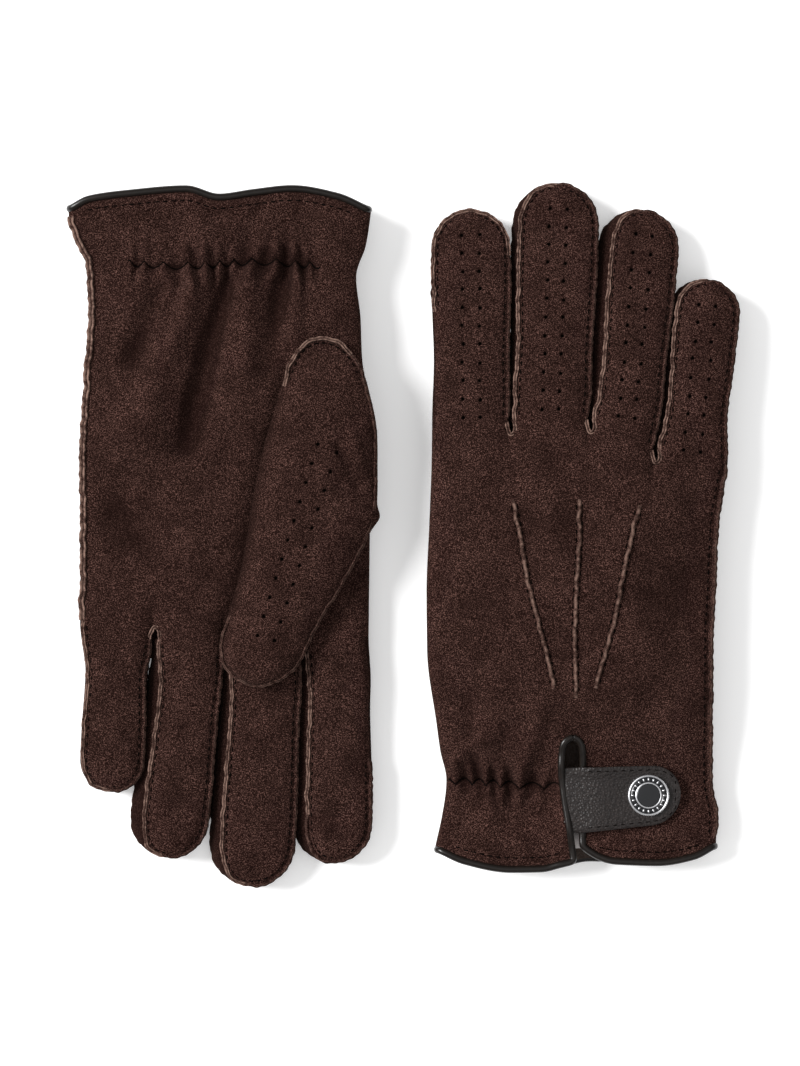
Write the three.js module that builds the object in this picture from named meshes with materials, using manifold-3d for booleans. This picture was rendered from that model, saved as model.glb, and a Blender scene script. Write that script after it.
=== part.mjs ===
// A pair of lined suede driving gloves laid flat, in millimetres, +Z up.
// The right glove lies palm down with its fingers towards +Y. The left one lies palm up with its fingers towards -Y.
// Each glove is drawn once in a flat glove frame and then laid on the table:
//   x runs across the hand from the thumb side (-) to the little finger side (+),
//   y runs from the cuff edge (0) to the fingertips, and z from the palm (-) to the back of the hand (+).
import * as THREE from "three";
import { mergeVertices } from "three/addons/utils/BufferGeometryUtils.js";
import Module from "manifold-3d";

const wasm = await Module();
wasm.setup();

// ---- Driving sizes ----
const PALM_WIDTH = 109; // across the knuckles, laid flat
const HAND_LENGTH = 158; // cuff edge to the crotches of the long fingers
const HALF_THICKNESS = 7.5; // from the glove's middle plane to the back, and to the palm
const SUEDE = 1.4; // wall of the outer leather
const LINING = 1; // wall of the knitted lining
const FINGER_WALL = 2.2; // leather and lining together, in the fingers and the thumb
const GAP = 0.3; // clearance between pieces that touch
const FINGER_GAP = 0.9; // between two neighbouring fingers at their crotch
const FOURCHETTE = 6; // height of the side strips between back and palm
const LITTLE_CROTCH_DROP = 10; // how far the crotch beside the little finger lies below the others
const TIP_POWER = 2.4; // fullness of a finger's section: 2 is an ellipse
const HAND_POWER = 3;
const FLATTEN = 1.025; // a section is drawn this much larger and cut back to its size, which leaves a flat

const ELASTIC = { at: 33, width: 6, thickness: 0.8 };
const LINING_INSET = SUEDE + ELASTIC.thickness + 2 * GAP; // the elastic lies between leather and lining
const PIPING = { width: 2.5, proud: 0.5 };
const SLIT = { x: 0, length: 44, halfTop: 1.6, halfMouth: 3.2, binding: 1.3, proud: 0.6 };
const TAB = { root: -2.6, end: 38, y: 24, halfRoot: 11, halfEnd: 10, thickness: 1.6 };
const SNAP = { x: 28.5, cap: 7.5, capHeight: 1.9, socket: 5, socketHeight: 1.5, stud: 2, flange: 0.4, shank: 1.5 };
const LABEL = { width: 24, length: 11, thickness: 0.4, y: 8 };
const THUMB = { root: 62, x: -36, lean: 14.5, length: 116, halfRoot: 13, half: 15 };
const THUMB_HOLE = { x: -33, y: 82, acrossHalf: 10, alongHalf: 14 };

// The hand's two side edges, as shares of the palm's width, at shares of the hand's length.
const HAND_OUTLINE = [
  { at: 0, thumb: -0.478, little: 0.462 },
  { at: 0.1, thumb: -0.455, little: 0.455 },
  { at: 0.21, thumb: -0.434, little: 0.442 },
  { at: 0.4, thumb: -0.487, little: 0.436 },
  { at: 0.64, thumb: -0.502, little: 0.448 },
  { at: 0.84, thumb: -0.5, little: 0.477 },
  { at: 1, thumb: -0.495, little: 0.5 },
];
// Where the fingers part at the crotch line, as shares of the palm's width.
const CROTCHES = [-0.495, -0.234, 0.04, 0.252, 0.502];
const FINGERS = [
  { name: "index", length: 82.5, half: 14.2, lean: 1.5, joint: 28 },
  { name: "middle", length: 92, half: 14.3, lean: 1.3, joint: 32 },
  { name: "ring", length: 82.5, half: 13.2, lean: 5, joint: 28 },
  { name: "little", length: 67.5, half: 12.3, lean: 5.3, joint: 24, drop: LITTLE_CROTCH_DROP },
];

// How each glove lies: which way its back faces, where it is, how thick its folded thumb is,
// and how high its middle plane runs over what is folded under it.
const SNAP_STACK = SNAP.flange + SNAP.socketHeight + TAB.thickness + SNAP.capHeight + 3 * GAP - 0.2;
const GLOVES = [
  { side: "right", back: 1, x: 63, y: -122.3, thumbHalf: 4.5, raised: [[34, 0], [70, 1], [182, 1], [236, 0]] },
  { side: "left", back: -1, x: -65, y: 123.4, thumbHalf: 6, raised: [[45, 1], [105, 0]] },
];

const SUEDE_COLOUR = { color: 0x3b2620, roughness: 0.95, metalness: 0 };
const LEATHER_COLOUR = { color: 0x2a2422, roughness: 0.5, metalness: 0 };
const KNIT_COLOUR = { color: 0x2f2320, roughness: 1, metalness: 0 };
const LABEL_COLOUR = { color: 0xcfcac6, roughness: 0.8, metalness: 0 };
const METAL_COLOUR = { color: 0x30343a, roughness: 0.35, metalness: 1 };

// ---- Solids ----
const { clamp, lerp } = THREE.MathUtils;
const slope = (degrees) => Math.tan(THREE.MathUtils.degToRad(degrees));

/** A three.js geometry as a manifold-3d solid. */
function solidOf(geometry) {
  const bare = geometry.clone();
  bare.deleteAttribute("normal");
  bare.deleteAttribute("uv");
  const merged = mergeVertices(bare, 1e-4);
  return new wasm.Manifold(
    new wasm.Mesh({
      numProp: 3,
      vertProperties: merged.attributes.position.array,
      triVerts: new Uint32Array(merged.index.array),
    }),
  );
}

/** Splits a mesh's triangles where they cross a plane square to one axis, so that it can be bent there. */
function crease({ positions, index }, axis, at) {
  const offset = (v) => positions[3 * v + axis] - at;
  const sideOf = (v) => (Math.abs(offset(v)) < 1e-4 ? 0 : Math.sign(offset(v)));
  const made = new Map();
  const between = (p, q) => {
    const [low, high] = p < q ? [p, q] : [q, p];
    const key = `${low} ${high}`;
    if (!made.has(key)) {
      const share = offset(low) / (offset(low) - offset(high));
      made.set(key, positions.length / 3);
      for (let c = 0; c < 3; c++) positions.push(lerp(positions[3 * low + c], positions[3 * high + c], share));
    }
    return made.get(key);
  };
  const creased = [];
  for (let t = 0; t < index.length; t += 3) {
    let corners = index.slice(t, t + 3);
    const sides = corners.map(sideOf);
    if (!(sides.includes(1) && sides.includes(-1))) {
      creased.push(...corners);
      continue;
    }
    const onPlane = sides.indexOf(0);
    const alone = onPlane >= 0 ? onPlane : sides.findIndex((side) => side === -Math.sign(sides[0] + sides[1] + sides[2]));
    corners = [0, 1, 2].map((k) => corners[(alone + k) % 3]);
    const [a, b, c] = corners;
    if (onPlane >= 0) {
      const m = between(b, c);
      creased.push(a, b, m, a, m, c);
    } else {
      const [m, n] = [between(a, b), between(a, c)];
      creased.push(a, m, n, m, b, c, m, c, n);
    }
  }
  return { positions, index: creased };
}

/** A solid's triangles as plain lists. */
function listsOf(solid) {
  const mesh = solid.getMesh();
  const positions = [];
  for (let v = 0; v < mesh.numVert; v++) {
    positions.push(...mesh.vertProperties.subarray(v * mesh.numProp, v * mesh.numProp + 3));
  }
  return { positions, index: Array.from(mesh.triVerts) };
}

/** Plain lists of positions and triangles as a three.js geometry. */
function geometryOf({ positions, index }) {
  const geometry = new THREE.BufferGeometry();
  geometry.setAttribute("position", new THREE.Float32BufferAttribute(positions, 3));
  geometry.setIndex(index);
  return geometry;
}

/** A closed solid through superellipse sections {y, x, a, b, z}, flat on top and below, with flat ends. */
function loft(sections, around, power) {
  const positions = [];
  const index = [];
  for (const s of sections) {
    for (let k = 0; k < around; k++) {
      const angle = (2 * Math.PI * k) / around;
      const bend = (v) => Math.sign(v) * Math.min(1, FLATTEN * Math.abs(v) ** (2 / power));
      positions.push(s.x + s.a * bend(Math.cos(angle)), s.y, (s.z ?? 0) + s.b * bend(Math.sin(angle)));
    }
  }
  const last = sections.length - 1;
  for (let r = 0; r < last; r++) {
    for (let k = 0; k < around; k++) {
      const next = (k + 1) % around;
      const [p, q] = [r * around + k, r * around + next];
      index.push(p, p + around, q, q, p + around, q + around);
    }
  }
  for (const [ring, turn] of [[0, 1], [last, -1]]) {
    const middle = positions.length / 3;
    positions.push(sections[ring].x, sections[ring].y, sections[ring].z ?? 0);
    for (let k = 0; k < around; k++) {
      const [p, q] = [ring * around + k, ring * around + ((k + 1) % around)];
      index.push(...(turn > 0 ? [middle, p, q] : [middle, q, p]));
    }
  }
  return solidOf(geometryOf({ positions, index }));
}

/** A box between two corners. */
function block(low, high) {
  const size = new THREE.Vector3().subVectors(high, low);
  const middle = new THREE.Vector3().addVectors(low, high).multiplyScalar(0.5);
  return solidOf(new THREE.BoxGeometry(size.x, size.y, size.z).translate(middle.x, middle.y, middle.z));
}
const point = (x, y, z) => new THREE.Vector3(x, y, z);
const FAR = 400;
const beyond = (y) => block(point(-FAR, y, -FAR), point(FAR, FAR, FAR));
const before = (y) => block(point(-FAR, -FAR, -FAR), point(FAR, y, FAR));
const over = (z) => block(point(-FAR, -FAR, z), point(FAR, FAR, FAR));
const under = (z) => block(point(-FAR, -FAR, -FAR), point(FAR, FAR, z));

/** A flat shape with a thickness along z, from low to high. */
function plate(shape, low, high, curveSegments = 8) {
  const made = new THREE.ExtrudeGeometry(shape, { depth: high - low, bevelEnabled: false, curveSegments });
  return solidOf(made.translate(0, 0, low));
}

/** A turned solid standing at (x, y): its profile is a list of [radius, z]. */
function turned(profile, x, y, segments = 16) {
  const points = profile.map(([r, z]) => new THREE.Vector2(r, z));
  return solidOf(new THREE.LatheGeometry(points, segments).rotateX(Math.PI / 2).translate(x, y, 0));
}

// ---- The hand ----
/** The hand's sections, taken in by a wall, from one length to another. */
function handSections(inset, from = 0, to = HAND_LENGTH) {
  const edges = HAND_OUTLINE.map(({ at, thumb, little }) => ({
    y: at * HAND_LENGTH,
    low: thumb * PALM_WIDTH,
    high: little * PALM_WIDTH,
  }));
  const edgeAt = (y) => {
    const k = Math.min(Math.max(edges.findIndex((e) => e.y >= y), 1), edges.length - 1);
    const share = clamp((y - edges[k - 1].y) / (edges[k].y - edges[k - 1].y), -0.2, 1);
    return {
      low: lerp(edges[k - 1].low, edges[k].low, share),
      high: lerp(edges[k - 1].high, edges[k].high, share),
    };
  };
  const inside = edges.map((e) => e.y).filter((y) => y > from + 1 && y < to - 1);
  return [from, ...inside, to].map((y) => {
    const { low, high } = edgeAt(y);
    return { y, x: (low + high) / 2, a: (high - low) / 2 - inset, b: HALF_THICKNESS - inset };
  });
}
const HAND_AROUND = 28;
const handSolid = (inset, from, to) => loft(handSections(inset, from, to), HAND_AROUND, HAND_POWER);
const tube = (outside, inside, from, to) =>
  handSolid(outside, from, to).subtract(handSolid(inside, from - 1, to + 1));

/** A finger's place on the hand, worked out from the crotches beside it. */
function fingerPlace(finger, k) {
  const [low, high] = [CROTCHES[k], CROTCHES[k + 1]].map((share) => share * PALM_WIDTH);
  const y = HAND_LENGTH - (finger.drop ?? 0);
  return { ...finger, x: (low + high) / 2, y, halfRoot: (high - low - FINGER_GAP) / 2, jointY: y + finger.joint };
}
const PLACES = FINGERS.map(fingerPlace);

/** A finger's sections, taken in by a wall, with a round tip. */
function fingerSections(finger, inset) {
  const sections = [];
  const add = (y, a, b) => sections.push({ y, x: finger.x + (y - finger.y) * slope(finger.lean), a, b });
  const tip = finger.y + finger.length - inset;
  const round = finger.half - inset;
  const b = HALF_THICKNESS - inset;
  add(finger.y - 12, finger.halfRoot - inset, b);
  add(finger.y, finger.halfRoot - inset, b);
  add(finger.jointY - 4, finger.half - inset, b);
  add(tip - round, round, b);
  for (const share of [0.5, 0.8, 0.98]) {
    const turn = Math.sqrt(1 - share * share);
    add(tip - round * (1 - share), round * turn, b * Math.max(turn, 0.3));
  }
  return sections;
}
const FINGER_AROUND = 14;
const fingerSolid = (finger, inset) => loft(fingerSections(finger, inset), FINGER_AROUND, TIP_POWER);

/** The space below the crotch beside the little finger, where the hand ends earlier. */
function pastLittleCrotch(inset) {
  const x = CROTCHES[3] * PALM_WIDTH - inset;
  return block(point(x, HAND_LENGTH - LITTLE_CROTCH_DROP - inset, -FAR), point(FAR, FAR, FAR));
}

/** The hand with the roots of its fingers, solid, taken in by a wall. */
function handAndRoots(handInset, fingerInset, reach) {
  const hand = handSolid(handInset, handInset ? -1 : 0, HAND_LENGTH - fingerInset);
  return PLACES.reduce(
    (made, finger) => made.add(fingerSolid(finger, fingerInset).intersect(before(finger.jointY + reach))),
    hand.subtract(pastLittleCrotch(fingerInset)),
  );
}

/** The windows in the leather that the fourchettes fill, for the roots of the fingers. */
function crotchWindow(k, clearance) {
  const x = CROTCHES[k + 1] * PALM_WIDTH;
  const reach = FINGER_GAP / 2 + FINGER_WALL + 4;
  const crotch = Math.min(PLACES[k].y, PLACES[k + 1].y);
  const half = FOURCHETTE / 2 - clearance;
  return block(point(x - reach + clearance, crotch - 5 + clearance, -half), point(x + reach - clearance, FAR, half));
}

/** The window down one side of a finger's end: side -1 is towards the thumb. */
function sideWindow(finger, side, clearance) {
  const half = FOURCHETTE / 2 - clearance;
  const ends = [finger.x, finger.x + side * FAR].sort((p, q) => p - q);
  const stop = finger.y + finger.length - 0.75 * finger.half - clearance;
  return block(point(ends[0], 0, -half), point(ends[1], stop, half));
}

/** The slit's hairpin outline, widened by a margin, as a prism through the back of the hand. */
function slitPrism(margin, low, high) {
  const [top, mouth] = [SLIT.halfTop + margin, SLIT.halfMouth + margin];
  const foot = -PIPING.width - GAP - (margin > SLIT.binding ? 1 : 0) - (margin ? 0 : 2);
  const shape = new THREE.Shape();
  shape.moveTo(SLIT.x - mouth, foot);
  shape.lineTo(SLIT.x + mouth, foot);
  shape.lineTo(SLIT.x + top, SLIT.length);
  shape.absarc(SLIT.x, SLIT.length, top, 0, Math.PI, false);
  shape.closePath();
  return plate(shape, low, high, 6);
}

function thumbSections(inset, half) {
  const sections = [];
  const tip = THUMB.root + THUMB.length - inset;
  const middle = (y) => THUMB.x + (y - THUMB.root) * slope(THUMB.lean);
  const add = (y, a, b) =>
    sections.push({ y, x: middle(y), a: a - inset, b: b - inset, z: -HALF_THICKNESS - GAP - b });
  const thin = Math.min(2.9, half);
  add(THUMB.root + inset, THUMB.halfRoot - 3, thin);
  add(THUMB.root + 9, THUMB.half - 1, (thin + half) / 2);
  add(THUMB.root + 22, THUMB.half, half);
  add(THUMB.root + 0.62 * THUMB.length, THUMB.half - 1, half);
  const round = THUMB.half - 2;
  for (const share of [0, 0.5, 0.8, 0.97]) {
    const turn = Math.sqrt(1 - share * share);
    add(tip - round * (1 - share), (round - inset) * turn + inset, (half - inset) * Math.max(turn, 0.35) + inset);
  }
  return sections;
}

/** The hole in the palm that the thumb opens into. */
function thumbHole(low, high) {
  const shape = new THREE.Shape().absellipse(
    THUMB_HOLE.x, THUMB_HOLE.y, THUMB_HOLE.acrossHalf, THUMB_HOLE.alongHalf, 0, 2 * Math.PI, false, -0.25,
  );
  return plate(shape, low, high, 12);
}

// ---- The pieces of one glove, in the glove frame: {name: {solid, look, body}} ----
function leather(thumbHalf) {
  const shell = handAndRoots(0, 0, 0).subtract(handAndRoots(SUEDE, FINGER_WALL, 2));
  const windows = [0, 1, 2].map((k) => crotchWindow(k, 0));
  const covered = windows.reduce((made, window) => made.subtract(window), shell);
  const pieces = {
    back: covered.intersect(over(GAP / 2)).subtract(slitPrism(SLIT.binding + GAP, 0, FAR)),
    palm: covered.intersect(under(-GAP / 2)).subtract(thumbHole(-FAR, 0)),
  };
  FINGERS.slice(0, 3).forEach((finger, k) => {
    pieces[`fourchette_${finger.name}_to_${FINGERS[k + 1].name}`] = shell.intersect(crotchWindow(k, GAP));
  });
  const thumb = loft(thumbSections(0, thumbHalf), FINGER_AROUND, TIP_POWER).subtract(
    loft(thumbSections(SUEDE, thumbHalf), FINGER_AROUND, TIP_POWER),
  );
  const middle = -HALF_THICKNESS - GAP - thumbHalf;
  pieces.thumb_outer = thumb.intersect(under(middle - GAP / 2));
  pieces.thumb_inner = thumb.intersect(over(middle + GAP / 2)).subtract(thumbHole(middle, 0));
  return pieces;
}

/** The end of one finger beyond its joint: the leather and the fourchettes sewn into its sides. */
function fingerEnd(finger, k) {
  const walls = fingerSolid(finger, 0)
    .subtract(fingerSolid(finger, FINGER_WALL))
    .intersect(beyond(finger.jointY + GAP));
  const sides = [k > 0 ? -1 : 0, k < 3 ? 1 : 0].filter((side) => side);
  const pieces = {
    [`${finger.name}_finger`]: sides.reduce((made, side) => made.subtract(sideWindow(finger, side, 0)), walls),
  };
  for (const side of sides) {
    const name = `${finger.name}_fourchette_${side < 0 ? "thumb" : "little"}_side`;
    pieces[name] = walls.intersect(sideWindow(finger, side, GAP));
  }
  return pieces;
}

function cuffPieces() {
  const slot = slitPrism(SLIT.binding + GAP, 0, FAR);
  const liningInside = LINING_INSET + LINING;
  const wrist = [ELASTIC.at - ELASTIC.width / 2, ELASTIC.at + ELASTIC.width / 2];
  const insideOfPalm = -HALF_THICKNESS + liningInside + GAP;
  const mouth = [-PIPING.width - GAP, -GAP];
  return {
    lining: tube(LINING_INSET, liningInside, 0, 0.86 * HAND_LENGTH)
      .subtract(slot)
      .subtract(thumbHole(-FAR, 0)),
    elastic: tube(SUEDE + GAP, SUEDE + GAP + ELASTIC.thickness, ...wrist).intersect(under(-GAP)),
    cuff_piping: tube(-PIPING.proud, liningInside + GAP, ...mouth).subtract(slot),
    slit_binding: slitPrism(SLIT.binding, HALF_THICKNESS - liningInside, HALF_THICKNESS + SLIT.proud).subtract(
      slitPrism(0, 0, FAR),
    ),
    size_label: block(
      point(SLIT.x - LABEL.width / 3, LABEL.y - LABEL.length / 2, insideOfPalm),
      point(SLIT.x + (2 * LABEL.width) / 3, LABEL.y + LABEL.length / 2, insideOfPalm + LABEL.thickness),
    ),
  };
}

// ---- The tab and its press stud ----
const TAB_LOW = HALF_THICKNESS + SLIT.proud + GAP;
const STUD_LOW = HALF_THICKNESS;
const SOCKET_LOW = STUD_LOW + SNAP.flange + GAP;
const TAB_OVER_SNAP = SOCKET_LOW + SNAP.socketHeight + GAP;
const TAB_AXIS = { x: TAB.root, z: TAB_LOW + TAB.thickness / 2 };

/** The tab's outline, with a round free end and a hole for the cap's shank. */
function tabShape() {
  const shape = new THREE.Shape();
  const straight = TAB.end - TAB.halfEnd;
  shape.moveTo(TAB.root, TAB.y - TAB.halfRoot);
  shape.lineTo(straight, TAB.y - TAB.halfEnd);
  shape.absarc(straight, TAB.y, TAB.halfEnd, -Math.PI / 2, Math.PI / 2, false);
  shape.lineTo(TAB.root, TAB.y + TAB.halfRoot);
  shape.closePath();
  return shape;
}

/** Lifts what lies over the glove's back from the slit up to the press stud. */
function liftTab(solid) {
  const flatFrom = SNAP.x - SNAP.socket - 1;
  const lifted = crease(listsOf(solid), 0, flatFrom);
  for (let v = 0; v < lifted.positions.length; v += 3) {
    const share = clamp((lifted.positions[v] - TAB.root) / (flatFrom - TAB.root), 0, 1);
    lifted.positions[v + 2] += share * (TAB_OVER_SNAP - TAB_LOW);
  }
  return solidOf(geometryOf(lifted));
}

function tabPieces() {
  const knuckle = turned([[0, -TAB.halfRoot], [TAB.thickness / 2, -TAB.halfRoot], [TAB.thickness / 2, TAB.halfRoot], [0, TAB.halfRoot]], 0, 0, 10)
    .rotate([-90, 0, 0])
    .translate([TAB_AXIS.x, TAB.y, TAB_AXIS.z]);
  const strap = liftTab(plate(tabShape(), TAB_LOW, TAB_LOW + TAB.thickness)).add(knuckle);
  const capLow = TAB_OVER_SNAP + TAB.thickness + GAP;
  const socketTop = SOCKET_LOW + SNAP.socketHeight;
  const studHole = SNAP.stud + 0.5;
  return {
    tab: strap.subtract(
      turned([[0, 0], [SNAP.shank + GAP, 0], [SNAP.shank + GAP, FAR], [0, FAR]], SNAP.x, TAB.y),
    ),
    snap_cap: turned(
      [
        [0, TAB_OVER_SNAP], [SNAP.shank, TAB_OVER_SNAP], [SNAP.shank, capLow], [SNAP.cap, capLow],
        [SNAP.cap, capLow + 0.5 * SNAP.capHeight], [SNAP.cap - 0.9, capLow + SNAP.capHeight],
        [0, capLow + SNAP.capHeight],
      ],
      SNAP.x, TAB.y, 24,
    ),
    snap_socket: turned(
      [[studHole, SOCKET_LOW], [SNAP.socket, SOCKET_LOW], [SNAP.socket, socketTop], [studHole, socketTop], [studHole, SOCKET_LOW]],
      SNAP.x, TAB.y,
    ),
  };
}

/** The half of the press stud that stays on the glove: its post ends in a flange inside the leather. */
function studPieces() {
  const inside = HALF_THICKNESS - SUEDE - GAP - 0.7;
  const top = SOCKET_LOW + SNAP.socketHeight - 0.2;
  return {
    snap_stud: turned(
      [
        [0, inside], [SNAP.socket - 1, inside], [SNAP.socket - 1, inside + SNAP.flange], [SNAP.shank, inside + SNAP.flange],
        [SNAP.shank, STUD_LOW], [SNAP.socket, STUD_LOW], [SNAP.socket, STUD_LOW + SNAP.flange],
        [SNAP.stud, STUD_LOW + SNAP.flange], [SNAP.stud, top], [0, top],
      ],
      SNAP.x, TAB.y,
    ),
  };
}
const studHoleInLeather = () =>
  turned([[0, 0], [SNAP.shank + GAP, 0], [SNAP.shank + GAP, FAR], [0, FAR]], SNAP.x, TAB.y);

// ---- Laying a glove on the table ----
/** How high the glove's middle plane runs over the table, at a distance from the cuff. */
function planeHeight(glove, y) {
  const most = glove.back > 0 ? 2 * glove.thumbHalf + GAP : SNAP_STACK;
  const { raised } = glove;
  const next = raised.findIndex(([at]) => at > y);
  if (next <= 0) return HALF_THICKNESS + most * raised.at(next)[1];
  const [[from, low], [to, high]] = [raised[next - 1], raised[next]];
  return HALF_THICKNESS + most * lerp(low, high, (y - from) / (to - from));
}

/** A point of the glove frame on the table. */
function laid(glove, x, y, z) {
  return point(glove.back * x + glove.x, glove.back * y + glove.y, glove.back * z + planeHeight(glove, y));
}

/** A solid's mesh, laid on the table, with its origin at a pivot. */
function laidGeometry(glove, solid, pivot) {
  const lists = glove.raised.reduce((made, [at]) => crease(made, 1, at), listsOf(solid));
  const { positions, index } = lists;
  for (let v = 0; v < positions.length; v += 3) {
    const [x, y, z] = positions.slice(v, v + 3);
    [positions[v], positions[v + 1], positions[v + 2]] = laid(glove, x, y, z).sub(pivot).toArray();
  }
  if (glove.back < 0) {
    for (let t = 0; t < index.length; t += 3) {
      [index[t + 1], index[t + 2]] = [index[t + 2], index[t + 1]];
    }
  }
  const geometry = geometryOf(lists);
  geometry.computeVertexNormals();
  return geometry;
}

/** A group at a pivot, holding the meshes of one moving body. */
function bodyGroup(glove, name, pivot, pieces, look) {
  const group = new THREE.Group();
  group.name = `${glove.side}_${name}`;
  group.position.copy(pivot);
  for (const [piece, solid] of Object.entries(pieces)) {
    const mesh = new THREE.Mesh(laidGeometry(glove, solid, pivot), new THREE.MeshStandardMaterial(look(piece)));
    mesh.name = `${glove.side}_${piece}`;
    group.add(mesh);
  }
  return group;
}

/** The colour and finish of a piece. */
function lookOf(piece) {
  if (piece.startsWith("snap")) return METAL_COLOUR;
  if (["lining", "elastic"].includes(piece)) return KNIT_COLOUR;
  if (["cuff_piping", "slit_binding", "tab"].includes(piece)) return LEATHER_COLOUR;
  return piece === "size_label" ? LABEL_COLOUR : SUEDE_COLOUR;
}

function makeGlove(glove) {
  const { thumb_outer, thumb_inner, ...hand } = leather(glove.thumbHalf);
  hand.back = hand.back.subtract(studHoleInLeather());
  const whole = new THREE.Group();
  whole.name = `${glove.side}_glove`;
  whole.add(bodyGroup(glove, "hand", point(0, 0, 0), { ...hand, ...cuffPieces(), ...studPieces() }, lookOf));
  PLACES.forEach((finger, k) => {
    const pivot = laid(glove, finger.x, finger.jointY + GAP / 2, -HALF_THICKNESS);
    whole.add(bodyGroup(glove, `${finger.name}_end`, pivot, fingerEnd(finger, k), lookOf));
  });
  const thumbPivot = laid(glove, THUMB.x, THUMB.root, -HALF_THICKNESS - GAP / 2);
  whole.add(bodyGroup(glove, "thumb_fold", thumbPivot, { thumb_outer, thumb_inner }, lookOf));
  const tabPivot = laid(glove, TAB_AXIS.x, TAB.y, TAB_AXIS.z);
  whole.add(bodyGroup(glove, "tab_flap", tabPivot, tabPieces(), lookOf));
  return whole;
}

// The pair stands on z = 0, centred on the origin.
const pair = new THREE.Group();
for (const glove of GLOVES) pair.add(makeGlove(glove));
pair.updateMatrixWorld(true);
const box = new THREE.Box3().setFromObject(pair, true);
pair.position.set(-(box.min.x + box.max.x) / 2, -(box.min.y + box.max.y) / 2, -box.min.z);
const gloves = new THREE.Group().add(pair);
export default gloves;
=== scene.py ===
"""A pair of lined suede driving gloves laid flat: the right one palm down, the left one palm up.

Every glove is shaped in its own flat frame and then laid on the table. In the glove frame x runs across
the hand from the thumb side to the little finger side, y from the cuff to the fingertips, and z from the
palm to the back of the hand. Sizes are in millimetres there and in metres in the scene.
"""

from __future__ import annotations

import logging
import math
from dataclasses import dataclass, field
from enum import Enum

import bpy
import numpy as np
from numpy.typing import NDArray
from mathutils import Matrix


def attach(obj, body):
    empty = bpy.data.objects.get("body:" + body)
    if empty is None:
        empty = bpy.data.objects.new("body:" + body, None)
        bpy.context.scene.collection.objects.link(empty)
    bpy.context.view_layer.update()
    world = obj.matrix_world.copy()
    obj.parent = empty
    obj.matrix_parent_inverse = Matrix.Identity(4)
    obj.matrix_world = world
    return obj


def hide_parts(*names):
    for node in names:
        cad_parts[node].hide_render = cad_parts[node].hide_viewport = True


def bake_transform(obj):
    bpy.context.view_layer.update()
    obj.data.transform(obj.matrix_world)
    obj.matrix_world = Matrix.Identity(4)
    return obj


Array = NDArray[np.float64]
Point = tuple[float, float]
Fold = tuple[Point, Point, float, float]  # start, end, half width and height of a soft fold
MM = 0.001
LOG = logging.getLogger("gloves")
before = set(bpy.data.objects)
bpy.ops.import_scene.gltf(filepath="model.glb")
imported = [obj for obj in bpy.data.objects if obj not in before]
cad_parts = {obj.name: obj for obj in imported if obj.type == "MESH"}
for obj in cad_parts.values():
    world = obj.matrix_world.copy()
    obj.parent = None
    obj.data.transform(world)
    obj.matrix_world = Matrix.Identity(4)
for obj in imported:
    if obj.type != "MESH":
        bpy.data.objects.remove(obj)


class Side(Enum):
    """Which hand a glove fits; the value is +1 where its back faces up and -1 where its palm does."""

    RIGHT = 1
    LEFT = -1

    @property
    def label(self) -> str:
        """The start of the glove's node and body names."""
        return self.name.lower()


# ---------------------------------------------------------------- numbers


def ease(x: Array | float, low: float, high: float) -> Array:
    """A smooth step.

    Args:
        x: where it is read.
        low: where it leaves 0.
        high: where it reaches 1.

    Returns:
        The step's value at x, from 0 to 1.
    """
    t = np.clip((np.asarray(x, float) - low) / (high - low), 0, 1)
    return t * t * (3 - 2 * t)


def bell(x: Array | float, width: float) -> Array:
    """A bell curve of height 1 around 0.

    Args:
        x: distance from its middle.
        width: distance at which it has fallen to about a third.

    Returns:
        The curve's value at x.
    """
    return np.exp(-np.square(np.asarray(x, float) / width))


def curve_through(points: list[Point], at: Array) -> Array:
    """A smooth curve through a few points, as y of x, without overshoot.

    Args:
        points: (x, y) pairs with rising x.
        at: where the curve is read; it stays level beyond its ends.

    Returns:
        The curve's y at each place.
    """
    x, y = np.array(points, float).T
    rise = np.diff(y) / np.diff(x)
    inner = np.where(rise[1:] * rise[:-1] > 0, 2 * rise[1:] * rise[:-1] / (rise[1:] + rise[:-1] + 1e-12), 0)
    slope = np.concatenate([rise[:1], inner, rise[-1:]])
    at = np.clip(at, x[0], x[-1])
    k = np.clip(np.searchsorted(x, at) - 1, 0, len(x) - 2)
    h = x[k + 1] - x[k]
    t = (at - x[k]) / h
    a, b = t * t * (3 - 2 * t), t * t * t - t * t
    return y[k] * (1 - a) + y[k + 1] * a + h * (slope[k] * (b - t * t + t) + slope[k + 1] * b)


def ripple(x: Array, y: Array, seed: int, pitch: float, count: int = 9) -> Array:
    """A smooth random field made of a few waves.

    Args:
        x: first coordinate.
        y: second coordinate.
        seed: picks the waves.
        pitch: typical distance between crests.
        count: how many waves are added up.

    Returns:
        The field, mostly between -1 and 1.
    """
    rng = np.random.default_rng(seed)
    turn, phase = rng.uniform(0, 2 * np.pi, (2, count))
    k = 2 * np.pi / (pitch * rng.uniform(0.7, 1.5, count))
    waves = np.multiply.outer(x, k * np.cos(turn)) + np.multiply.outer(y, k * np.sin(turn)) + phase
    return np.sin(waves).sum(-1) / math.sqrt(count)


def distance_along(path: Array) -> Array:
    """How far along a path each of its points lies.

    Args:
        path: points in order, (n, 3).

    Returns:
        n distances from its start.
    """
    return np.concatenate([[0], np.cumsum(np.linalg.norm(np.diff(path, axis=0), axis=1))])


def upright(count: int, sign: float = 1.0) -> Array:
    """The upward directions of a flat path.

    Args:
        count: how many points the path has.
        sign: 1 for up and -1 for down.

    Returns:
        (count, 3) equal directions.
    """
    return np.tile([0, 0, sign], (count, 1))


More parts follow.
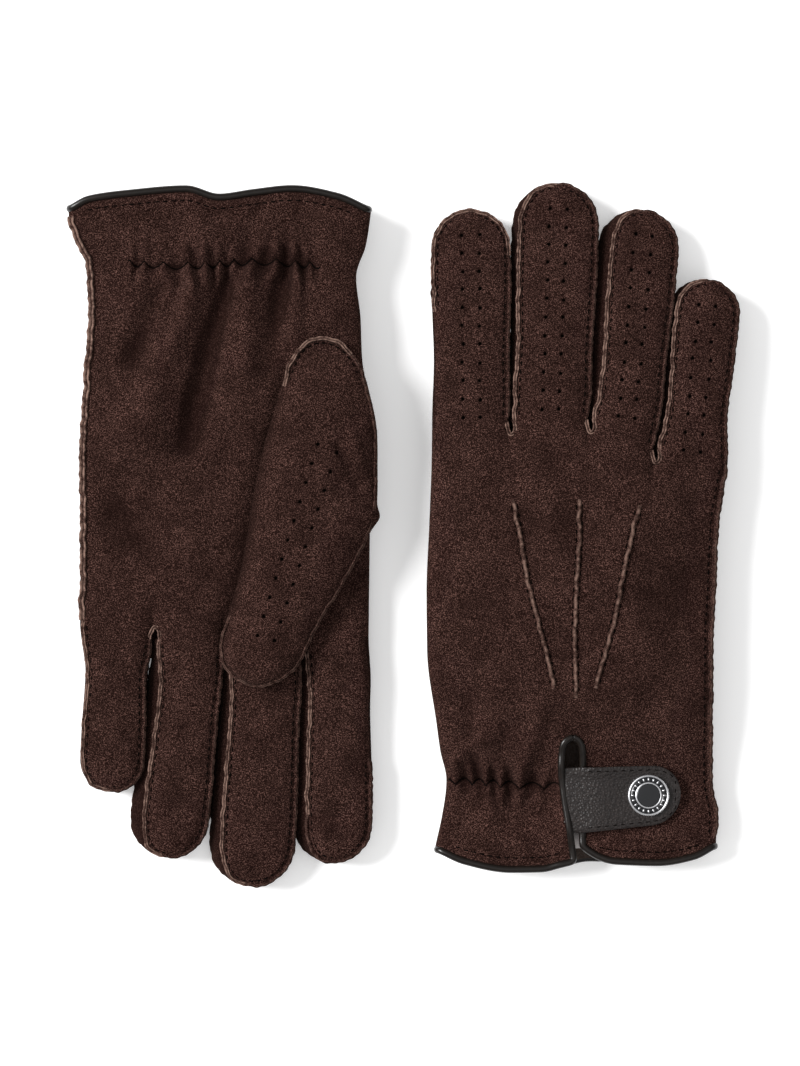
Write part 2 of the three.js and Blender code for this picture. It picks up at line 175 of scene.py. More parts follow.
def resample(path: Array, step: float) -> Array:
    """A path as evenly spaced points.

    Args:
        path: points in order, (n, 3).
        step: wanted spacing.

    Returns:
        The resampled path, with the same ends.
    """
    along = distance_along(path)
    count = max(3, int(round(along[-1] / step)) + 1)
    even = np.linspace(0, along[-1], count)
    return np.stack([np.interp(even, along, path[:, c]) for c in range(3)], 1)


def frames_along(path: Array, up: Array) -> tuple[Array, Array, Array]:
    """Directions along a path.

    Args:
        path: points in order, (n, 3).
        up: wanted upward direction at each point.

    Returns:
        Unit vectors along the path, across it and upward from it.
    """
    ahead = np.gradient(path, axis=0)
    ahead /= np.linalg.norm(ahead, axis=1, keepdims=True) + 1e-9
    across = np.cross(ahead, up)
    across /= np.linalg.norm(across, axis=1, keepdims=True) + 1e-9
    return ahead, across, np.cross(across, ahead)


# ---------------------------------------------------------------- meshes

WELD = 0.002  # millimetres between points that become one


@dataclass
class Surface:
    """Points and four-sided faces, with named numbers per point."""

    points: Array
    faces: NDArray[np.int64]
    marks: dict[str, Array] = field(default_factory=dict)

    @classmethod
    def grid(cls, points: Array, closed: bool = False, marks: dict[str, Array] | None = None) -> Surface:
        """A sheet through rows and columns of points.

        Args:
            points: (rows, columns, 3).
            closed: whether the last column joins the first.
            marks: named numbers, each (rows, columns).

        Returns:
            The sheet. Its faces look along the columns' direction crossed with the rows'.
        """
        rows, cols = points.shape[:2]
        ids = np.arange(rows * cols).reshape(rows, cols)
        if closed:
            ids = np.concatenate([ids, ids[:, :1]], 1)
        faces = np.stack([ids[:-1, :-1], ids[:-1, 1:], ids[1:, 1:], ids[1:, :-1]], -1).reshape(-1, 4)
        return cls(points.reshape(-1, 3), faces, {k: v.reshape(-1) for k, v in (marks or {}).items()})

    @classmethod
    def tube(cls, path: Array, up: Array, profile: Array, raw: Array | None = None) -> Surface:
        """A profile carried along a path, with flat ends.

        Args:
            path: points in order, (n, 3).
            up: upward direction at each point.
            profile: (m, 2) or (n, m, 2) offsets across and upward, in order round the section.
            raw: how much of the cut leather edge shows at each profile point.

        Returns:
            The swept solid.
        """
        _, across, upward = frames_along(path, up)
        profile = np.broadcast_to(profile, (len(path), *profile.shape[-2:]))
        rings = path[:, None] + profile[..., :1] * across[:, None] + profile[..., 1:] * upward[:, None]
        rings = with_flat_ends(rings)
        marks = {} if raw is None else {"raw": np.broadcast_to(raw, rings.shape[:2])}
        return cls.grid(rings, closed=True, marks=marks)

    def flipped(self) -> Surface:
        """The same surface with its faces turned round."""
        return Surface(self.points, self.faces[:, ::-1], self.marks)

    @staticmethod
    def joined(parts: list[Surface]) -> Surface:
        """Several surfaces as one.

        Args:
            parts: the surfaces; a mark that one of them lacks is 0 there.

        Returns:
            One surface that holds them all.
        """
        starts = np.cumsum([0] + [len(p.points) for p in parts[:-1]])
        names = {name for p in parts for name in p.marks}
        marks = {n: np.concatenate([p.marks.get(n, np.zeros(len(p.points))) for p in parts]) for n in names}
        faces = np.concatenate([p.faces + s for p, s in zip(parts, starts)])
        return Surface(np.concatenate([p.points for p in parts]), faces, marks)


def with_flat_ends(rings: Array) -> Array:
    """Rings closed at both ends by a ring shrunk to a point.

    Args:
        rings: (n, m, 3) points.

    Returns:
        (n + 2, m, 3) points.
    """
    ends = [np.broadcast_to(ring.mean(0), ring.shape)[None] for ring in (rings[0], rings[-1])]
    return np.concatenate([ends[0], rings, ends[1]])


def make_object(name: str, surface: Surface, material: bpy.types.Material) -> bpy.types.Object:
    """A mesh object from a surface, with points that meet welded into one.

    Args:
        name: its name.
        surface: its shape, in the scene's metres.
        material: its finish.

    Returns:
        The object, smooth shaded and linked to the scene.
    """
    keys = np.round(surface.points / (WELD * MM)).astype(np.int64)
    _, first, where = np.unique(keys, axis=0, return_index=True, return_inverse=True)
    faces = where.reshape(-1)[surface.faces]
    same = faces == np.roll(faces, -1, 1)
    faces = faces[same.sum(1) < 2]
    mesh = bpy.data.meshes.new(name)
    kept = [row[row != np.roll(row, -1)].tolist() for row in faces]
    mesh.from_pydata(surface.points[first].tolist(), [], kept)
    for mark, values in surface.marks.items():
        attribute = mesh.attributes.new(mark, "FLOAT", "POINT")
        attribute.data.foreach_set("value", values[first].astype(np.float32))
    mesh.polygons.foreach_set("use_smooth", np.ones(len(mesh.polygons), bool))
    mesh.materials.append(material)
    mesh.update()
    made = bpy.data.objects.new(name, mesh)
    bpy.context.scene.collection.objects.link(made)
    return made


# ---------------------------------------------------------------- sizes


@dataclass(frozen=True)
class FingerSize:
    """One finger in the glove frame.

    Attributes:
        name: which finger.
        tip: (x, y) of its tip.
        width: its width, laid flat.
        holes: how many rows of holes its back has.
        joint: y of the place where it bends.
        roll: how far in from the finger's edge one seam of its upper face lies.
    """

    name: str
    tip: Point
    width: float
    holes: int
    joint: float
    roll: float


@dataclass(frozen=True)
class GloveSize:
    """The outline of one glove and how it lies.

    Attributes:
        side: which hand it fits.
        origin: (x, y) on the table of the glove frame's origin.
        index_edge: the hand's edge on the thumb side, as (y, x) pairs from the cuff.
        little_edge: the hand's other edge, in the same way.
        crotches: (x, y) of the fingers' limits, from the thumb side to the other.
        fingers: the four fingers, from the index.
        thumb_thickness: how thick the folded thumb is.
        gather: lowest x, highest x, and y of the line that gathers the cuff.
        height: (y, height) pairs of the middle plane over the table.
        lift: (y, height) pairs added where the thumb lies below.
        cuff: (share, shift) pairs that say how the cuff's edge waves.
        gaps: how far a finger's edge stays back from a crotch, towards the thumb and away from it.
        folds: the soft folds of the face that lies up.
    """

    side: Side
    origin: Point
    index_edge: list[Point]
    little_edge: list[Point]
    crotches: list[Point]
    fingers: tuple[FingerSize, ...]
    thumb_thickness: float
    gather: tuple[float, float, float]
    height: list[Point]
    lift: list[Point]
    cuff: list[Point]
    gaps: tuple[float, float]
    folds: tuple[Fold, ...]


RIGHT = GloveSize(
    side=Side.RIGHT,
    origin=(63.9, -119.5),
    index_edge=[(0, -50.8), (14, -48.2), (29.5, -46.6), (40, -48.8), (50, -50.2), (76, -53.6), (97, -53.8),
                (122, -52.8), (143, -52), (156, -51.8)],
    little_edge=[(0, 50.6), (14, 51), (29.5, 49), (50, 48.8), (76, 48.8), (97, 49.8), (122, 51), (143, 54.4)],
    crotches=[(-51.8, 156), (-24.5, 158.3), (4, 159), (27.4, 148.2), (54.4, 143)],
    fingers=(
        FingerSize("index", (-37.8, 235), 27.8, 11, 183.3, 0.0),
        FingerSize("middle", (-6.7, 244.6), 30.2, 12, 187.3, 2.0),
        FingerSize("ring", (23.8, 235), 28.2, 11, 183.3, 4.4),
        FingerSize("little", (47.4, 209.6), 24.4, 9, 169.3, 1.7),
    ),
    thumb_thickness=8.6,
    gather=(-45, -7, 27),
    height=[(0, 6.8), (28, 6.6), (70, 7.6), (150, 7.3), (195, 6)],
    lift=[(30, 0), (74, 8), (178, 8), (232, 0)],
    cuff=[(0, 4.3), (0.1, 0.4), (0.28, -2.4), (0.4, -2.2), (0.48, -0.4), (0.55, 0.8), (0.8, 0),
          (0.93, 2.1), (1, 5.6)],
    gaps=(2.3, 0.7),
    folds=(
        ((-44, 36), (-26, 52), 4, 1.0), ((-20, 34), (-12, 56), 3.5, 0.9), ((-36, 34), (-40, 58), 3.2, -1.0),
        ((-28, 33), (-24, 50), 3, -0.9), ((-30, 20), (-33, 4), 4, 0.7), ((8, 44), (42, 52), 5, 0.7),
        ((30, 60), (44, 110), 8, -0.7), ((-46, 70), (-30, 120), 9, 0.6),
    ),
)
LEFT = GloveSize(
    side=Side.LEFT,
    origin=(-63.9, 119.5),
    index_edge=[(0, -54.2), (15.5, -52.2), (28.8, -48.8), (44, -50.4), (56, -50.8), (77, -53.4), (96, -54),
                (125, -53.6), (158, -53.2)],
    little_edge=[(0, 54.6), (5, 54.2), (24, 47.9), (39, 46.8), (67, 48.6), (96, 50.4), (130, 50.2),
                 (154, 50.8)],
    crotches=[(-53.2, 158), (-28.6, 162.2), (-1.2, 162.2), (24.5, 158.8), (50.8, 152)],
    fingers=(
        FingerSize("index", (-40, 239.4), 27.8, 11, 182.2, 4.6),
        FingerSize("middle", (-10.2, 248), 30.4, 12, 186.2, 4.2),
        FingerSize("ring", (20.4, 237.6), 27.8, 11, 182.2, 4.8),
        FingerSize("little", (39.8, 214), 22.9, 9, 168.2, 0.6),
    ),
    thumb_thickness=9.2,
    gather=(-35, 32, 23),
    height=[(0, 6.8), (28, 6.6), (70, 7.6), (150, 7.3), (195, 6)],
    lift=[(0, 6.2), (45, 6.2), (105, 0)],
    cuff=[(0, 4.5), (0.1, 0), (0.25, -2.6), (0.38, -1.2), (0.5, 0.5), (0.61, -2.5), (0.8, -1),
          (0.94, 1), (1, 4.2)],
    gaps=(1.0, 2.6),
    folds=(
        ((-3, 31), (13, 90), 4.6, -2.2), ((9, 32), (32, 90), 6, 1.6), ((-22, 31), (-18, 62), 4.2, -1.5),
        ((-11, 32), (-5, 78), 6, 1.4), ((21, 33), (33, 60), 4.2, -1.3), ((-28, 32), (-27, 50), 3, 1.0),
        ((14, 32), (24, 60), 3, -0.9), ((0, 100), (36, 84), 9, 0.8), ((6, 134), (40, 118), 8, -0.7),
        ((-14, 6), (-10, 18), 4, -0.8), ((8, 5), (6, 18), 5, 0.7), ((-24, 60), (-3, 156), 4, -1.1),
    ),
)

SEAT = 0.75  # keeps the lowest seams off the table
WALL = 3.3  # half height of a side strip
THUMB_SIDE_ROUND, LITTLE_SIDE_ROUND = 1.8, 1.4  # how far the hand's two edges bulge
FINGER_DOME = 2.5  # how far a finger's face rises over its seams
FINGER_SEAM = 0.9  # what the seam takes up at a finger's edge
TIP_ROUND = 1.04  # length of a finger's rounded tip, in half widths
ROOT_MIX = 16  # length over which a finger leaves its crotch line
SLIT_TOP = 45.2
SLIT_INDEX_EDGE = [(0, -0.9), (14, -2.9), (24.5, -4.5), (34.7, -5.5), (41.6, -5.1), (44.3, -3.6),
                   (SLIT_TOP, -1.4)]
SLIT_LITTLE_EDGE = [(0, 2.2), (36, 2.3), (41.6, 1.9), (44.3, 0.6), (SLIT_TOP, -1.4)]
BACK_DOME = [(0, 3.2), (28, 2.6), (52, 3.6), (90, 4.3), (130, 4.2), (160, 3.2)]  # (y, height over the seams)
POINTS_ON_BACK = [((-23.6, 130.3), (-8.6, 62.6)), ((0.4, 130.7), (-0.9, 59.4)), ((22.3, 128.2), (6.8, 63))]
HOLE_PITCH, HOLE_RADIUS, HOLE_OFFSET = 6.6, 0.64, 3.05
HOLE_DEPTH = 1.5
STITCH_PITCH = 3.0
TOP_CELLS, WALL_CELLS, BOTTOM_CELLS = 66, 8, 30  # faces across a finger's back, side and palm
THUMB_AXIS = [(51.5, -38.4), (77, -38), (92, -36.2), (111, -33.8), (133, -27.2), (150, -19.8), (163, -14.8),
              (177, -11)]
THUMB_HALF = [(51.5, 12), (60, 12.6), (77, 16.6), (92, 19.2), (111, 20.8), (121, 19.8), (133, 17.8),
              (150, 15.2), (177, 13.2)]
THUMB_RISE = [(51.5, 0.12), (62, 0.45), (84, 0.9), (110, 1), (180, 0.92)]  # (y, share of its thickness)
THUMB_HOLES = (((-35.3, 89), (-13.8, 157.2)), ((-42, 92), (-19.8, 159)))
THUMB_START, THUMB_ROOT_ROUND = 51.5, 15  # y where it starts, and how long its rounded root is
THUMB_STRAIGHT = 66.9, 160.0  # y of the rows between its rounded ends
THUMB_TIP_ROUND = 14.6
THUMB_FLOOR = -7.0  # the plane on which it lies on the palm
THUMB_LEAN = 0.16  # how far its rows slope, for each millimetre across


def pits(x: Array, y: Array, holes: Array) -> Array:
    """How far each place lies in a punched hole.

    Args:
        x: the places across the hand.
        y: the places along it.
        holes: hole centres, (n, 2).

    Returns:
        1 in the middle of a hole and 0 outside all of them.
    """
    nearest = np.full(x.shape, 1e9)
    for hole_x, hole_y in holes:
        nearest = np.minimum(nearest, np.hypot(x - hole_x, y - hole_y))
    return 1 - ease(nearest, 0.65 * HOLE_RADIUS, 1.2 * HOLE_RADIUS)


class GloveShape:
    """The smooth shape of one glove in its own frame, and the way it is laid on the table."""

    def __init__(self, size: GloveSize) -> None:
        """Keeps the sizes and works out where the fingers start.

        Args:
            size: the glove's sizes.
        """
        self.size = size
        self.side = size.side
        ends = np.array(size.crotches)
        self.shares = (ends[:, 0] - ends[0, 0]) / (ends[-1, 0] - ends[0, 0])

    # -- laying --

    def laid(self, points: Array) -> Array:
        """Points of the glove frame on the table.

        Args:
            points: (..., 3) in the glove frame, in millimetres.

        Returns:
            The same points in the scene, in metres.
        """
        x, y, z = np.moveaxis(points, -1, 0)
        lift = curve_through(self.size.lift, y)
        if self.side is Side.RIGHT:
            lift = lift * (1 - 0.5 * ease(x, 10, 55))
        plane = curve_through(self.size.height, y) + lift + SEAT
        turn = self.side.value
        flat = [turn * x + self.size.origin[0], turn * y + self.size.origin[1], turn * z + plane]
        return np.stack(flat, -1) * MM

    def place(self, surface: Surface) -> Surface:
        """A surface of the glove frame on the table, with its faces still outwards.

        Args:
            surface: the surface, in millimetres.

        Returns:
            The laid surface, in metres.
        """
        laid = Surface(self.laid(surface.points), surface.faces, surface.marks)
        return laid if self.side is Side.RIGHT else laid.flipped()

    # -- hand --

    def hand_edges(self, y: Array) -> tuple[Array, Array]:
        """The seams at the hand's two edges.

        Args:
            y: distance from the cuff.

        Returns:
            x at the thumb side and at the little finger side.
        """
        low = curve_through(self.size.index_edge, y) + THUMB_SIDE_ROUND
        return low, curve_through(self.size.little_edge, y) - LITTLE_SIDE_ROUND

    def edge(self, y: Array, share: Array, part: int) -> Array:
        """Places across the hand.

        Args:
            y: distance from the cuff.
            share: 0 at the thumb side's edge and 1 at the little finger side's.
            part: -1 for the side of the slit towards the thumb, 1 for the other side, 0 for the palm.

        Returns:
            x at each place.
        """
        low, high = self.hand_edges(y)
        middle = self.shares[2]
        if part == 0:
            return low + share * (high - low)
        slit = curve_through(SLIT_INDEX_EDGE if part < 0 else SLIT_LITTLE_EDGE, y)
        free = low + middle * (high - low)
        at_middle = np.where(y < SLIT_TOP, slit, free + (slit - free) * (1 - ease(y, SLIT_TOP, 110)))
        if part < 0:
            return low + share / middle * (at_middle - low)
        return high - (1 - share) / (1 - middle) * (high - at_middle)

    def hand_height(self, x: Array, y: Array, share: Array, u: Array, v: Array, face: int) -> Array:
        """Height of the hand's back or palm over its middle plane.

        Args:
            x: place across the hand.
            y: place along the hand.
            share: 0 to 1 across the whole hand.
            u: -1 to 1 across one finger's strip of the hand.
            v: 0 at the cuff to 1 at the crotches.
            face: 1 for the back and -1 for the palm.

        Returns:
            The height, positive for the back and negative for the palm.
        """
        broad = curve_through(BACK_DOME, y) * (1 - np.abs(2 * share - 1) ** 3.2) ** 0.75
        lobe = FINGER_DOME * (1 - np.abs(u) ** 3) ** 0.62
        mix = ease(v, 0.9, 1)
        height = WALL * (0.86 + 0.14 * ease(y, 20, 60)) + broad * (1 - mix) + lobe * mix
        return face * (height + self.relief(x, y, share, face))

    def relief(self, x: Array, y: Array, share: Array, face: int) -> Array:
        """Gathers, soft folds and unevenness of a panel.

        Args:
            x: place across the hand.
            y: place along the hand.
            share: 0 to 1 across the whole hand.
            face: 1 for the back and -1 for the palm.

        Returns:
            Height added to the smooth panel.
        """
        seed = (2 if self.side is Side.LEFT else 5) + face
        inside = ease(share, 0, 0.08) * ease(1 - share, 0, 0.08)
        calm = ease(y, 2, 14) * (1 - ease(y, 128, 150))
        height = inside * calm * (0.75 * ripple(x, y, seed, 38) + 0.28 * ripple(x, y, seed + 20, 16))
        low, high, middle = self.size.gather
        gathered = face == (1 if self.side is Side.RIGHT else -1)
        reach = ease(x, low - 4, low + 5) * (1 - ease(x, high - 5, high + 4)) if gathered else inside * 0.7
        pucker, zigzag = self.gather_zigzag(x)
        off = y - middle - zigzag
        height = height - reach * (1.2 * bell(off, 0.9) + 1.2 * bell(off, 3.4))
        pleat = (0.8 + 0.4 * np.sin(x / 4.7)) * np.cos(2 * pucker + 0.2 * off * np.sin(x / 7))
        height = height + reach * 1.3 * pleat * (bell(off - 3.4, 4.2) + bell(off + 3.2, 3.4))
        if face != self.side.value:
            return 0.4 * height  # what lies on the table is pressed flat
        for start, end, width, rise in self.size.folds:
            height = height + 1.5 * rise * self.fold(x, y, start, end, width)
        return height

    @staticmethod
    def gather_zigzag(x: Array) -> tuple[Array, Array]:
        """The zigzag of the line that gathers the cuff.

        Args:
            x: places across the hand.

        Returns:
            The phase of its pleats and how far it wanders along y, at each place.
        """
        pucker = np.pi * (x + 1.6 * np.sin(x / 5.3)) / 6.4
        return pucker, 2.3 * np.abs(np.sin(pucker)) + 0.8 * np.sin(x / 9)

    @staticmethod
    def fold(x: Array, y: Array, start: Point, end: Point, width: float) -> Array:
        """A soft fold along a line.

        Args:
            x: places across the hand.
            y: places along it.
            start: where the fold begins.
            end: where it ends.
            width: its half width.

        Returns:
            1 along the middle of the fold, falling to 0 around it.
        """
        a, b = np.array(start, float), np.array(end, float)
        length = float(np.hypot(*(b - a)))
        ahead = (b - a) / length
        along = (x - a[0]) * ahead[0] + (y - a[1]) * ahead[1]
        off = (x - a[0]) * -ahead[1] + (y - a[1]) * ahead[0]
        beyond = np.maximum(0, np.maximum(-along, along - length))
        return bell(off, width * (0.7 + 0.6 * np.clip(along / length, 0, 1))) * bell(beyond, width)

    def crotch_line(self, k: int, share: Array) -> Array:
        """The line where a finger starts.

        Args:
            k: which finger, from the index.
            share: 0 to 1 across the finger.

        Returns:
            (x, y) at each share.
        """
        a, b = (np.array(self.size.crotches[i], float) for i in (k, k + 1))
        low, high = self.size.gaps
        a = a + np.array([THUMB_SIDE_ROUND if k == 0 else low, 0])
        b = b - np.array([LITTLE_SIDE_ROUND if k == 3 else high, 0])
        line = a + share[..., None] * (b - a)
        line[..., 1] += 2.2 * np.sin(np.pi * share) * (1 if k in (1, 2) else 0.6)
        return line

    def on_panel(self, face: int, k: int, v: Array, s: Array) -> Array:
        """Points of the hand's back or palm.

        Args:
            face: 1 for the back and -1 for the palm.
            k: the finger below which they lie, from the index.
            v: 0 at the cuff to 1 at the crotches.
            s: 0 to 1 across that finger's strip.

        Returns:
            The points, in the glove frame.
        """
        top = self.crotch_line(k, s)
        share = self.shares[k] + s * (self.shares[k + 1] - self.shares[k])
        part = 0 if face < 0 else (-1 if k < 2 else 1)
        y = v * top[..., 1]
        x = self.edge(y, share, part)
        low, high = self.size.gaps
        spread = low * (1 - s) * (k > 0) - high * s * (k < 3)
        x = x + (top[..., 0] - spread - self.edge(top[..., 1], share, part)) * ease(v, 0.8, 1)
        x = x + spread * np.sqrt(1 - np.clip((1 - v) / 0.026, 0, 1) ** 2)
        z = self.hand_height(x, y, share, 2 * s - 1, v, face)
        y = y + self.cuff_wave(share, y)
        if face > 0 and k >= 2:
            y = y + 5.5 * np.clip(1 - (x - 2.2) / 13, 0, 1) ** 2.2 * (1 - ease(y, 0, 12))
        if part:
            below_strap = ease(y, 4, 12) * (1 - ease(y, 34, 40))
            lip = bell(x + 4.5, 4) * (0.9 + 2.1 * below_strap) if k < 2 else 0.7 * bell(x - 2, 4)
            z = z + lip * (1 - ease(y, 38, 54))
        return np.stack([x, y, z], -1)

    def cuff_wave(self, share: Array, y: Array) -> Array:
        """How far the cuff's edge waves up and down.

        Args:
            share: 0 to 1 across the hand.
            y: distance from the cuff.

        Returns:
            The shift along y.
        """
        return curve_through(self.size.cuff, share) * (1 - ease(y, 0, 30))

    def gather_line(self) -> Array:
        """The zigzag along which the cuff is gathered, on the side that faces up.

        Returns:
            (n, 2) places in the glove frame.
        """
        low, high, middle = self.size.gather
        x = np.arange(low - 1, high + 1, 0.3)
        _, zigzag = self.gather_zigzag(x)
        wave = curve_through(self.size.cuff, (x - low) / (high - low))
        return np.stack([x, middle + zigzag + 0.02 * wave], 1)

    def back_height(self, x: Array, y: Array) -> Array:
        """Height of the back near the cuff, without its gathers.

        Args:
            x: place across the hand.
            y: place along the hand.

        Returns:
            The height over the middle plane.
        """
        low, high = self.hand_edges(y)
        across = np.clip(np.abs(2 * (x - low) / (high - low) - 1), 0, 1)
        dome = curve_through(BACK_DOME[:4], y)
        return WALL * (0.86 + 0.14 * ease(y, 20, 60)) + dome * (1 - across**3.2) ** 0.75

    def panel(self, face: int) -> Surface:
        """The hand's back or palm from the cuff to the crotches.

        Args:
            face: 1 for the back and -1 for the palm.

        Returns:
            The panel, in the glove frame.
        """
        v, s = np.meshgrid(np.linspace(0, 1, 270), np.linspace(0, 1, 45), indexing="ij")
        strips = []
        for k in range(4):
            points = self.on_panel(face, k, v, s)
            share = self.shares[k] + s * (self.shares[k + 1] - self.shares[k])
            # Painted shade: the suede is darkened where its relief sinks, in the gathers and creases.
            depth = -self.relief(points[..., 0], v * self.crotch_line(k, s)[..., 1], share, face)
            strips.append(Surface.grid(points, marks={"strip": 0.65 * ease(depth, 0.3, 2.4)}))
        whole = Surface.joined(strips)
        return whole.flipped() if face < 0 else whole

    def side_wall(self, little: bool) -> Surface:
        """The hand's rounded edge between its palm and its back.

        Args:
            little: True for the little finger side, False for the fold on the thumb side.

        Returns:
            The wall, in the glove frame.
        """
        k, end, part = (3, 1.0, 1) if little else (0, 0.0, -1)
        top = self.crotch_line(k, np.array([end]))[0]
        v = np.linspace(0, 1, 230)
        share = np.full_like(v, end)
        y = v * top[1]
        x = self.edge(y, share, part)
        x = x + (top[0] - self.edge(np.array([top[1]]), share[:1], part)) * ease(v, 0.8, 1)
        u = np.ones_like(v)
        up = self.hand_height(x, y, share, u, v, 1)
        down = self.hand_height(x, y, share, u, v, -1)
        y = y + self.cuff_wave(share, y)
        around = np.linspace(-1, 1, 2 * WALL_CELLS + 1)
        out = (LITTLE_SIDE_ROUND if little else THUMB_SIDE_ROUND) * np.sqrt(1 - around**2)
        z = (up + down)[:, None] / 2 + (up - down)[:, None] / 2 * around
        xs = x[:, None] + (out if little else -out)
        wall = Surface.grid(np.stack([xs, np.broadcast_to(y[:, None], xs.shape), z], -1))
        return wall.flipped() if little else wall

    # -- fingers --

    def finger_axis(self, k: int) -> tuple[Array, Array, Array, float]:
        """A finger's middle line.

        Args:
            k: which finger, from the index.

        Returns:
            Its start, the directions along and across it, and its length.
        """
        line = np.array([self.size.crotches[k], self.size.crotches[k + 1]], float)
        line[:, 0] += [THUMB_SIDE_ROUND / 2 if k == 0 else 0, -LITTLE_SIDE_ROUND / 2 if k == 3 else 0]
        start, tip = line.mean(0), np.array(self.size.fingers[k].tip, float)
        length = float(np.hypot(*(tip - start)))
        along = (tip - start) / length
        return start, along, np.array([along[1], -along[0]]), length

    def holes(self, k: int) -> Array:
        """The centres of a finger's punched holes, on the back of the hand.

        Args:
            k: which finger, from the index.

        Returns:
            (n, 2) places in the glove frame.
        """
        start, along, across, length = self.finger_axis(k)
        rows = length - 9.5 - HOLE_PITCH * np.arange(self.size.fingers[k].holes)
        shift = 0.35 * self.size.fingers[k].roll * (1 if self.side is Side.RIGHT else 0)
        places = [start + r * along + (d + shift) * across for r in rows for d in (-HOLE_OFFSET, HOLE_OFFSET)]
        return np.array(places) + np.random.default_rng(k + 3).uniform(-0.3, 0.3, (len(places), 2))

    def finger_rows(self, k: int) -> tuple[Array, Array, Array]:
        """The rows along a finger.

        Args:
            k: which finger, from the index.

        Returns:
            Of each row, its distance from the crotch line, its half width, and the share of it that the tip's
            rounding leaves (1 before the tip and 0 at its end).
        """
        _, _, _, length = self.finger_axis(k)
        half = self.size.fingers[k].width / 2 - FINGER_SEAM
        turn = TIP_ROUND * half
        straight = length - FINGER_SEAM - turn
        rounded = straight + turn * np.sin(np.linspace(0, np.pi / 2, 44)[1:])
        s = np.concatenate([np.linspace(0, straight, int((length - turn) / 0.42)), rounded])
        tail = np.clip((s - straight) / turn, 0, 1)
        left = (1 - tail**2.15) ** 0.5
        belly = 1 - 0.035 * bell(s - 0.3 * length, 12) + 0.03 * bell(s - 0.72 * length, 16)
        return s, half * left * belly, left

    def rims(self, k: int, face: int) -> tuple[Array, Array]:
        """The two edges of a finger's back or palm, beyond its root.

        Args:
            k: which finger, from the index.
            face: 1 for the back and -1 for the palm.

        Returns:
            (x, y) of each row at the thumb side's edge and at the other one.
        """
        start, along, across, _ = self.finger_axis(k)
        s, half, left = self.finger_rows(k)
        middle = start + s[:, None] * along
        roll = self.size.fingers[k].roll * left**1.5 * (face == self.side.value)
        low = half - (roll if self.side is Side.RIGHT else 0)
        high = half - (roll if self.side is Side.LEFT else 0)
        return middle - low[:, None] * across, middle + high[:, None] * across

    def finger(self, k: int) -> Surface:
        """One finger from its crotch line to its tip, closed at the tip and open at the hand.

        Args:
            k: which finger, from the index.

        Returns:
            The finger, in the glove frame.
        """
        _, along, across, length = self.finger_axis(k)
        s, half, left = self.finger_rows(k)
        seed = 31 + 7 * k + (3 if self.side is Side.LEFT else 0)
        round_length = TIP_ROUND * half.max()
        tail = np.clip((s - (length - FINGER_SEAM - round_length)) / round_length, 0, 1)

        def flat(u: Array, face: int) -> Array:
            """(x, y) of every row at places u, -1 to 1 across one face."""
            low, high = self.rims(k, face)
            share = (u + 1)[:, None] / 2
            base = self.crotch_line(k, (u + 1) / 2)[None] + s[:, None, None] * along
            free = low[:, None] * (1 - share) + high[:, None] * share
            mix = ease(s, 0, ROOT_MIX)[:, None, None]
            return base * (1 - mix) + free * mix

        def sheet(u: Array, face: int) -> Array:
            """The domed points of one face."""
            plan = flat(u, face)
            dome = FINGER_DOME * (1 - np.abs(u) ** 3) ** 0.62 * (left[:, None] ** 0.8)
            uneven = 0.3 * ripple(plan[..., 0], plan[..., 1], seed + face, 15) * (1 - np.abs(u) ** 2)
            z = WALL + dome + uneven * ease(s, 0, 14)[:, None] * left[:, None]
            return np.concatenate([plan, (face * z)[..., None]], -1)

        def wall(sign: int) -> Array:
            """The points of the side strip at one edge, from the palm to the back."""
            edge = np.array([float(sign)])
            upper, lower = flat(edge, 1), flat(edge, -1)
            turn = np.linspace(-1, 1, WALL_CELLS + 1)[1:-1]
            share = ((1 + turn) / 2)[:, None]
            share = share**2 if self.side is Side.RIGHT else 1 - (1 - share) ** 2
            outward = sign * across * np.sqrt(1 - tail[:, None] ** 2) + along * tail[:, None]
            outer = (k == 0 and sign < 0) or (k == 3 and sign > 0)
            if outer:
                at_root = THUMB_SIDE_ROUND if k == 0 else LITTLE_SIDE_ROUND
            else:
                at_root = self.size.gaps[0 if sign < 0 else 1] - 0.35
            bulge = at_root + (FINGER_SEAM - at_root) * ease(s, 0, ROOT_MIX)
            out = (bulge[:, None] * np.sqrt(1 - turn**2))[..., None] * outward[:, None]
            z = np.broadcast_to(WALL * turn, out.shape[:2])[..., None]
            return np.concatenate([lower * (1 - share) + upper * share + out, z], -1)

        top = sheet(np.linspace(-1, 1, TOP_CELLS + 1), 1)
        mark = pits(top[..., 0], top[..., 1], self.holes(k))
        top[..., 2] -= HOLE_DEPTH * mark
        bottom = sheet(np.linspace(1, -1, BOTTOM_CELLS + 1), -1)
        loop = np.concatenate([top, wall(1)[:, ::-1], bottom, wall(-1)], 1)
        pit, strip = np.zeros((2, *loop.shape[:2]))
        # Painted shade in the punched holes of the finger's back.
        pit[:, : TOP_CELLS + 1] = mark
        strip[:, TOP_CELLS + 1 : TOP_CELLS + WALL_CELLS] = 1
        strip[:, -WALL_CELLS + 1 :] = 1
        return Surface.grid(loop, closed=True, marks={"pit": pit, "strip": strip})

    def seam_path(self, k: int, face: int) -> Array:
        """The line of a finger's seam, from one crotch round the tip to the other.

        Args:
            k: which finger, from the index.
            face: 1 along the back and -1 along the palm.

        Returns:
            Points in order, in the glove frame.
        """
        _, along, _, _ = self.finger_axis(k)
        s, _, _ = self.finger_rows(k)
        sides = []
        for sign, free in zip((-1, 1), self.rims(k, face)):
            base = self.crotch_line(k, np.array([(sign + 1) / 2]))[0] + s[:, None] * along
            mix = ease(s, 0, ROOT_MIX)[:, None]
            sides.append(base * (1 - mix) + free * mix)
        plan = np.concatenate([sides[0], sides[1][::-1][1:]])
        return np.concatenate([plan, np.full((len(plan), 1), face * (WALL + 0.15))], 1)

    # -- thumb --

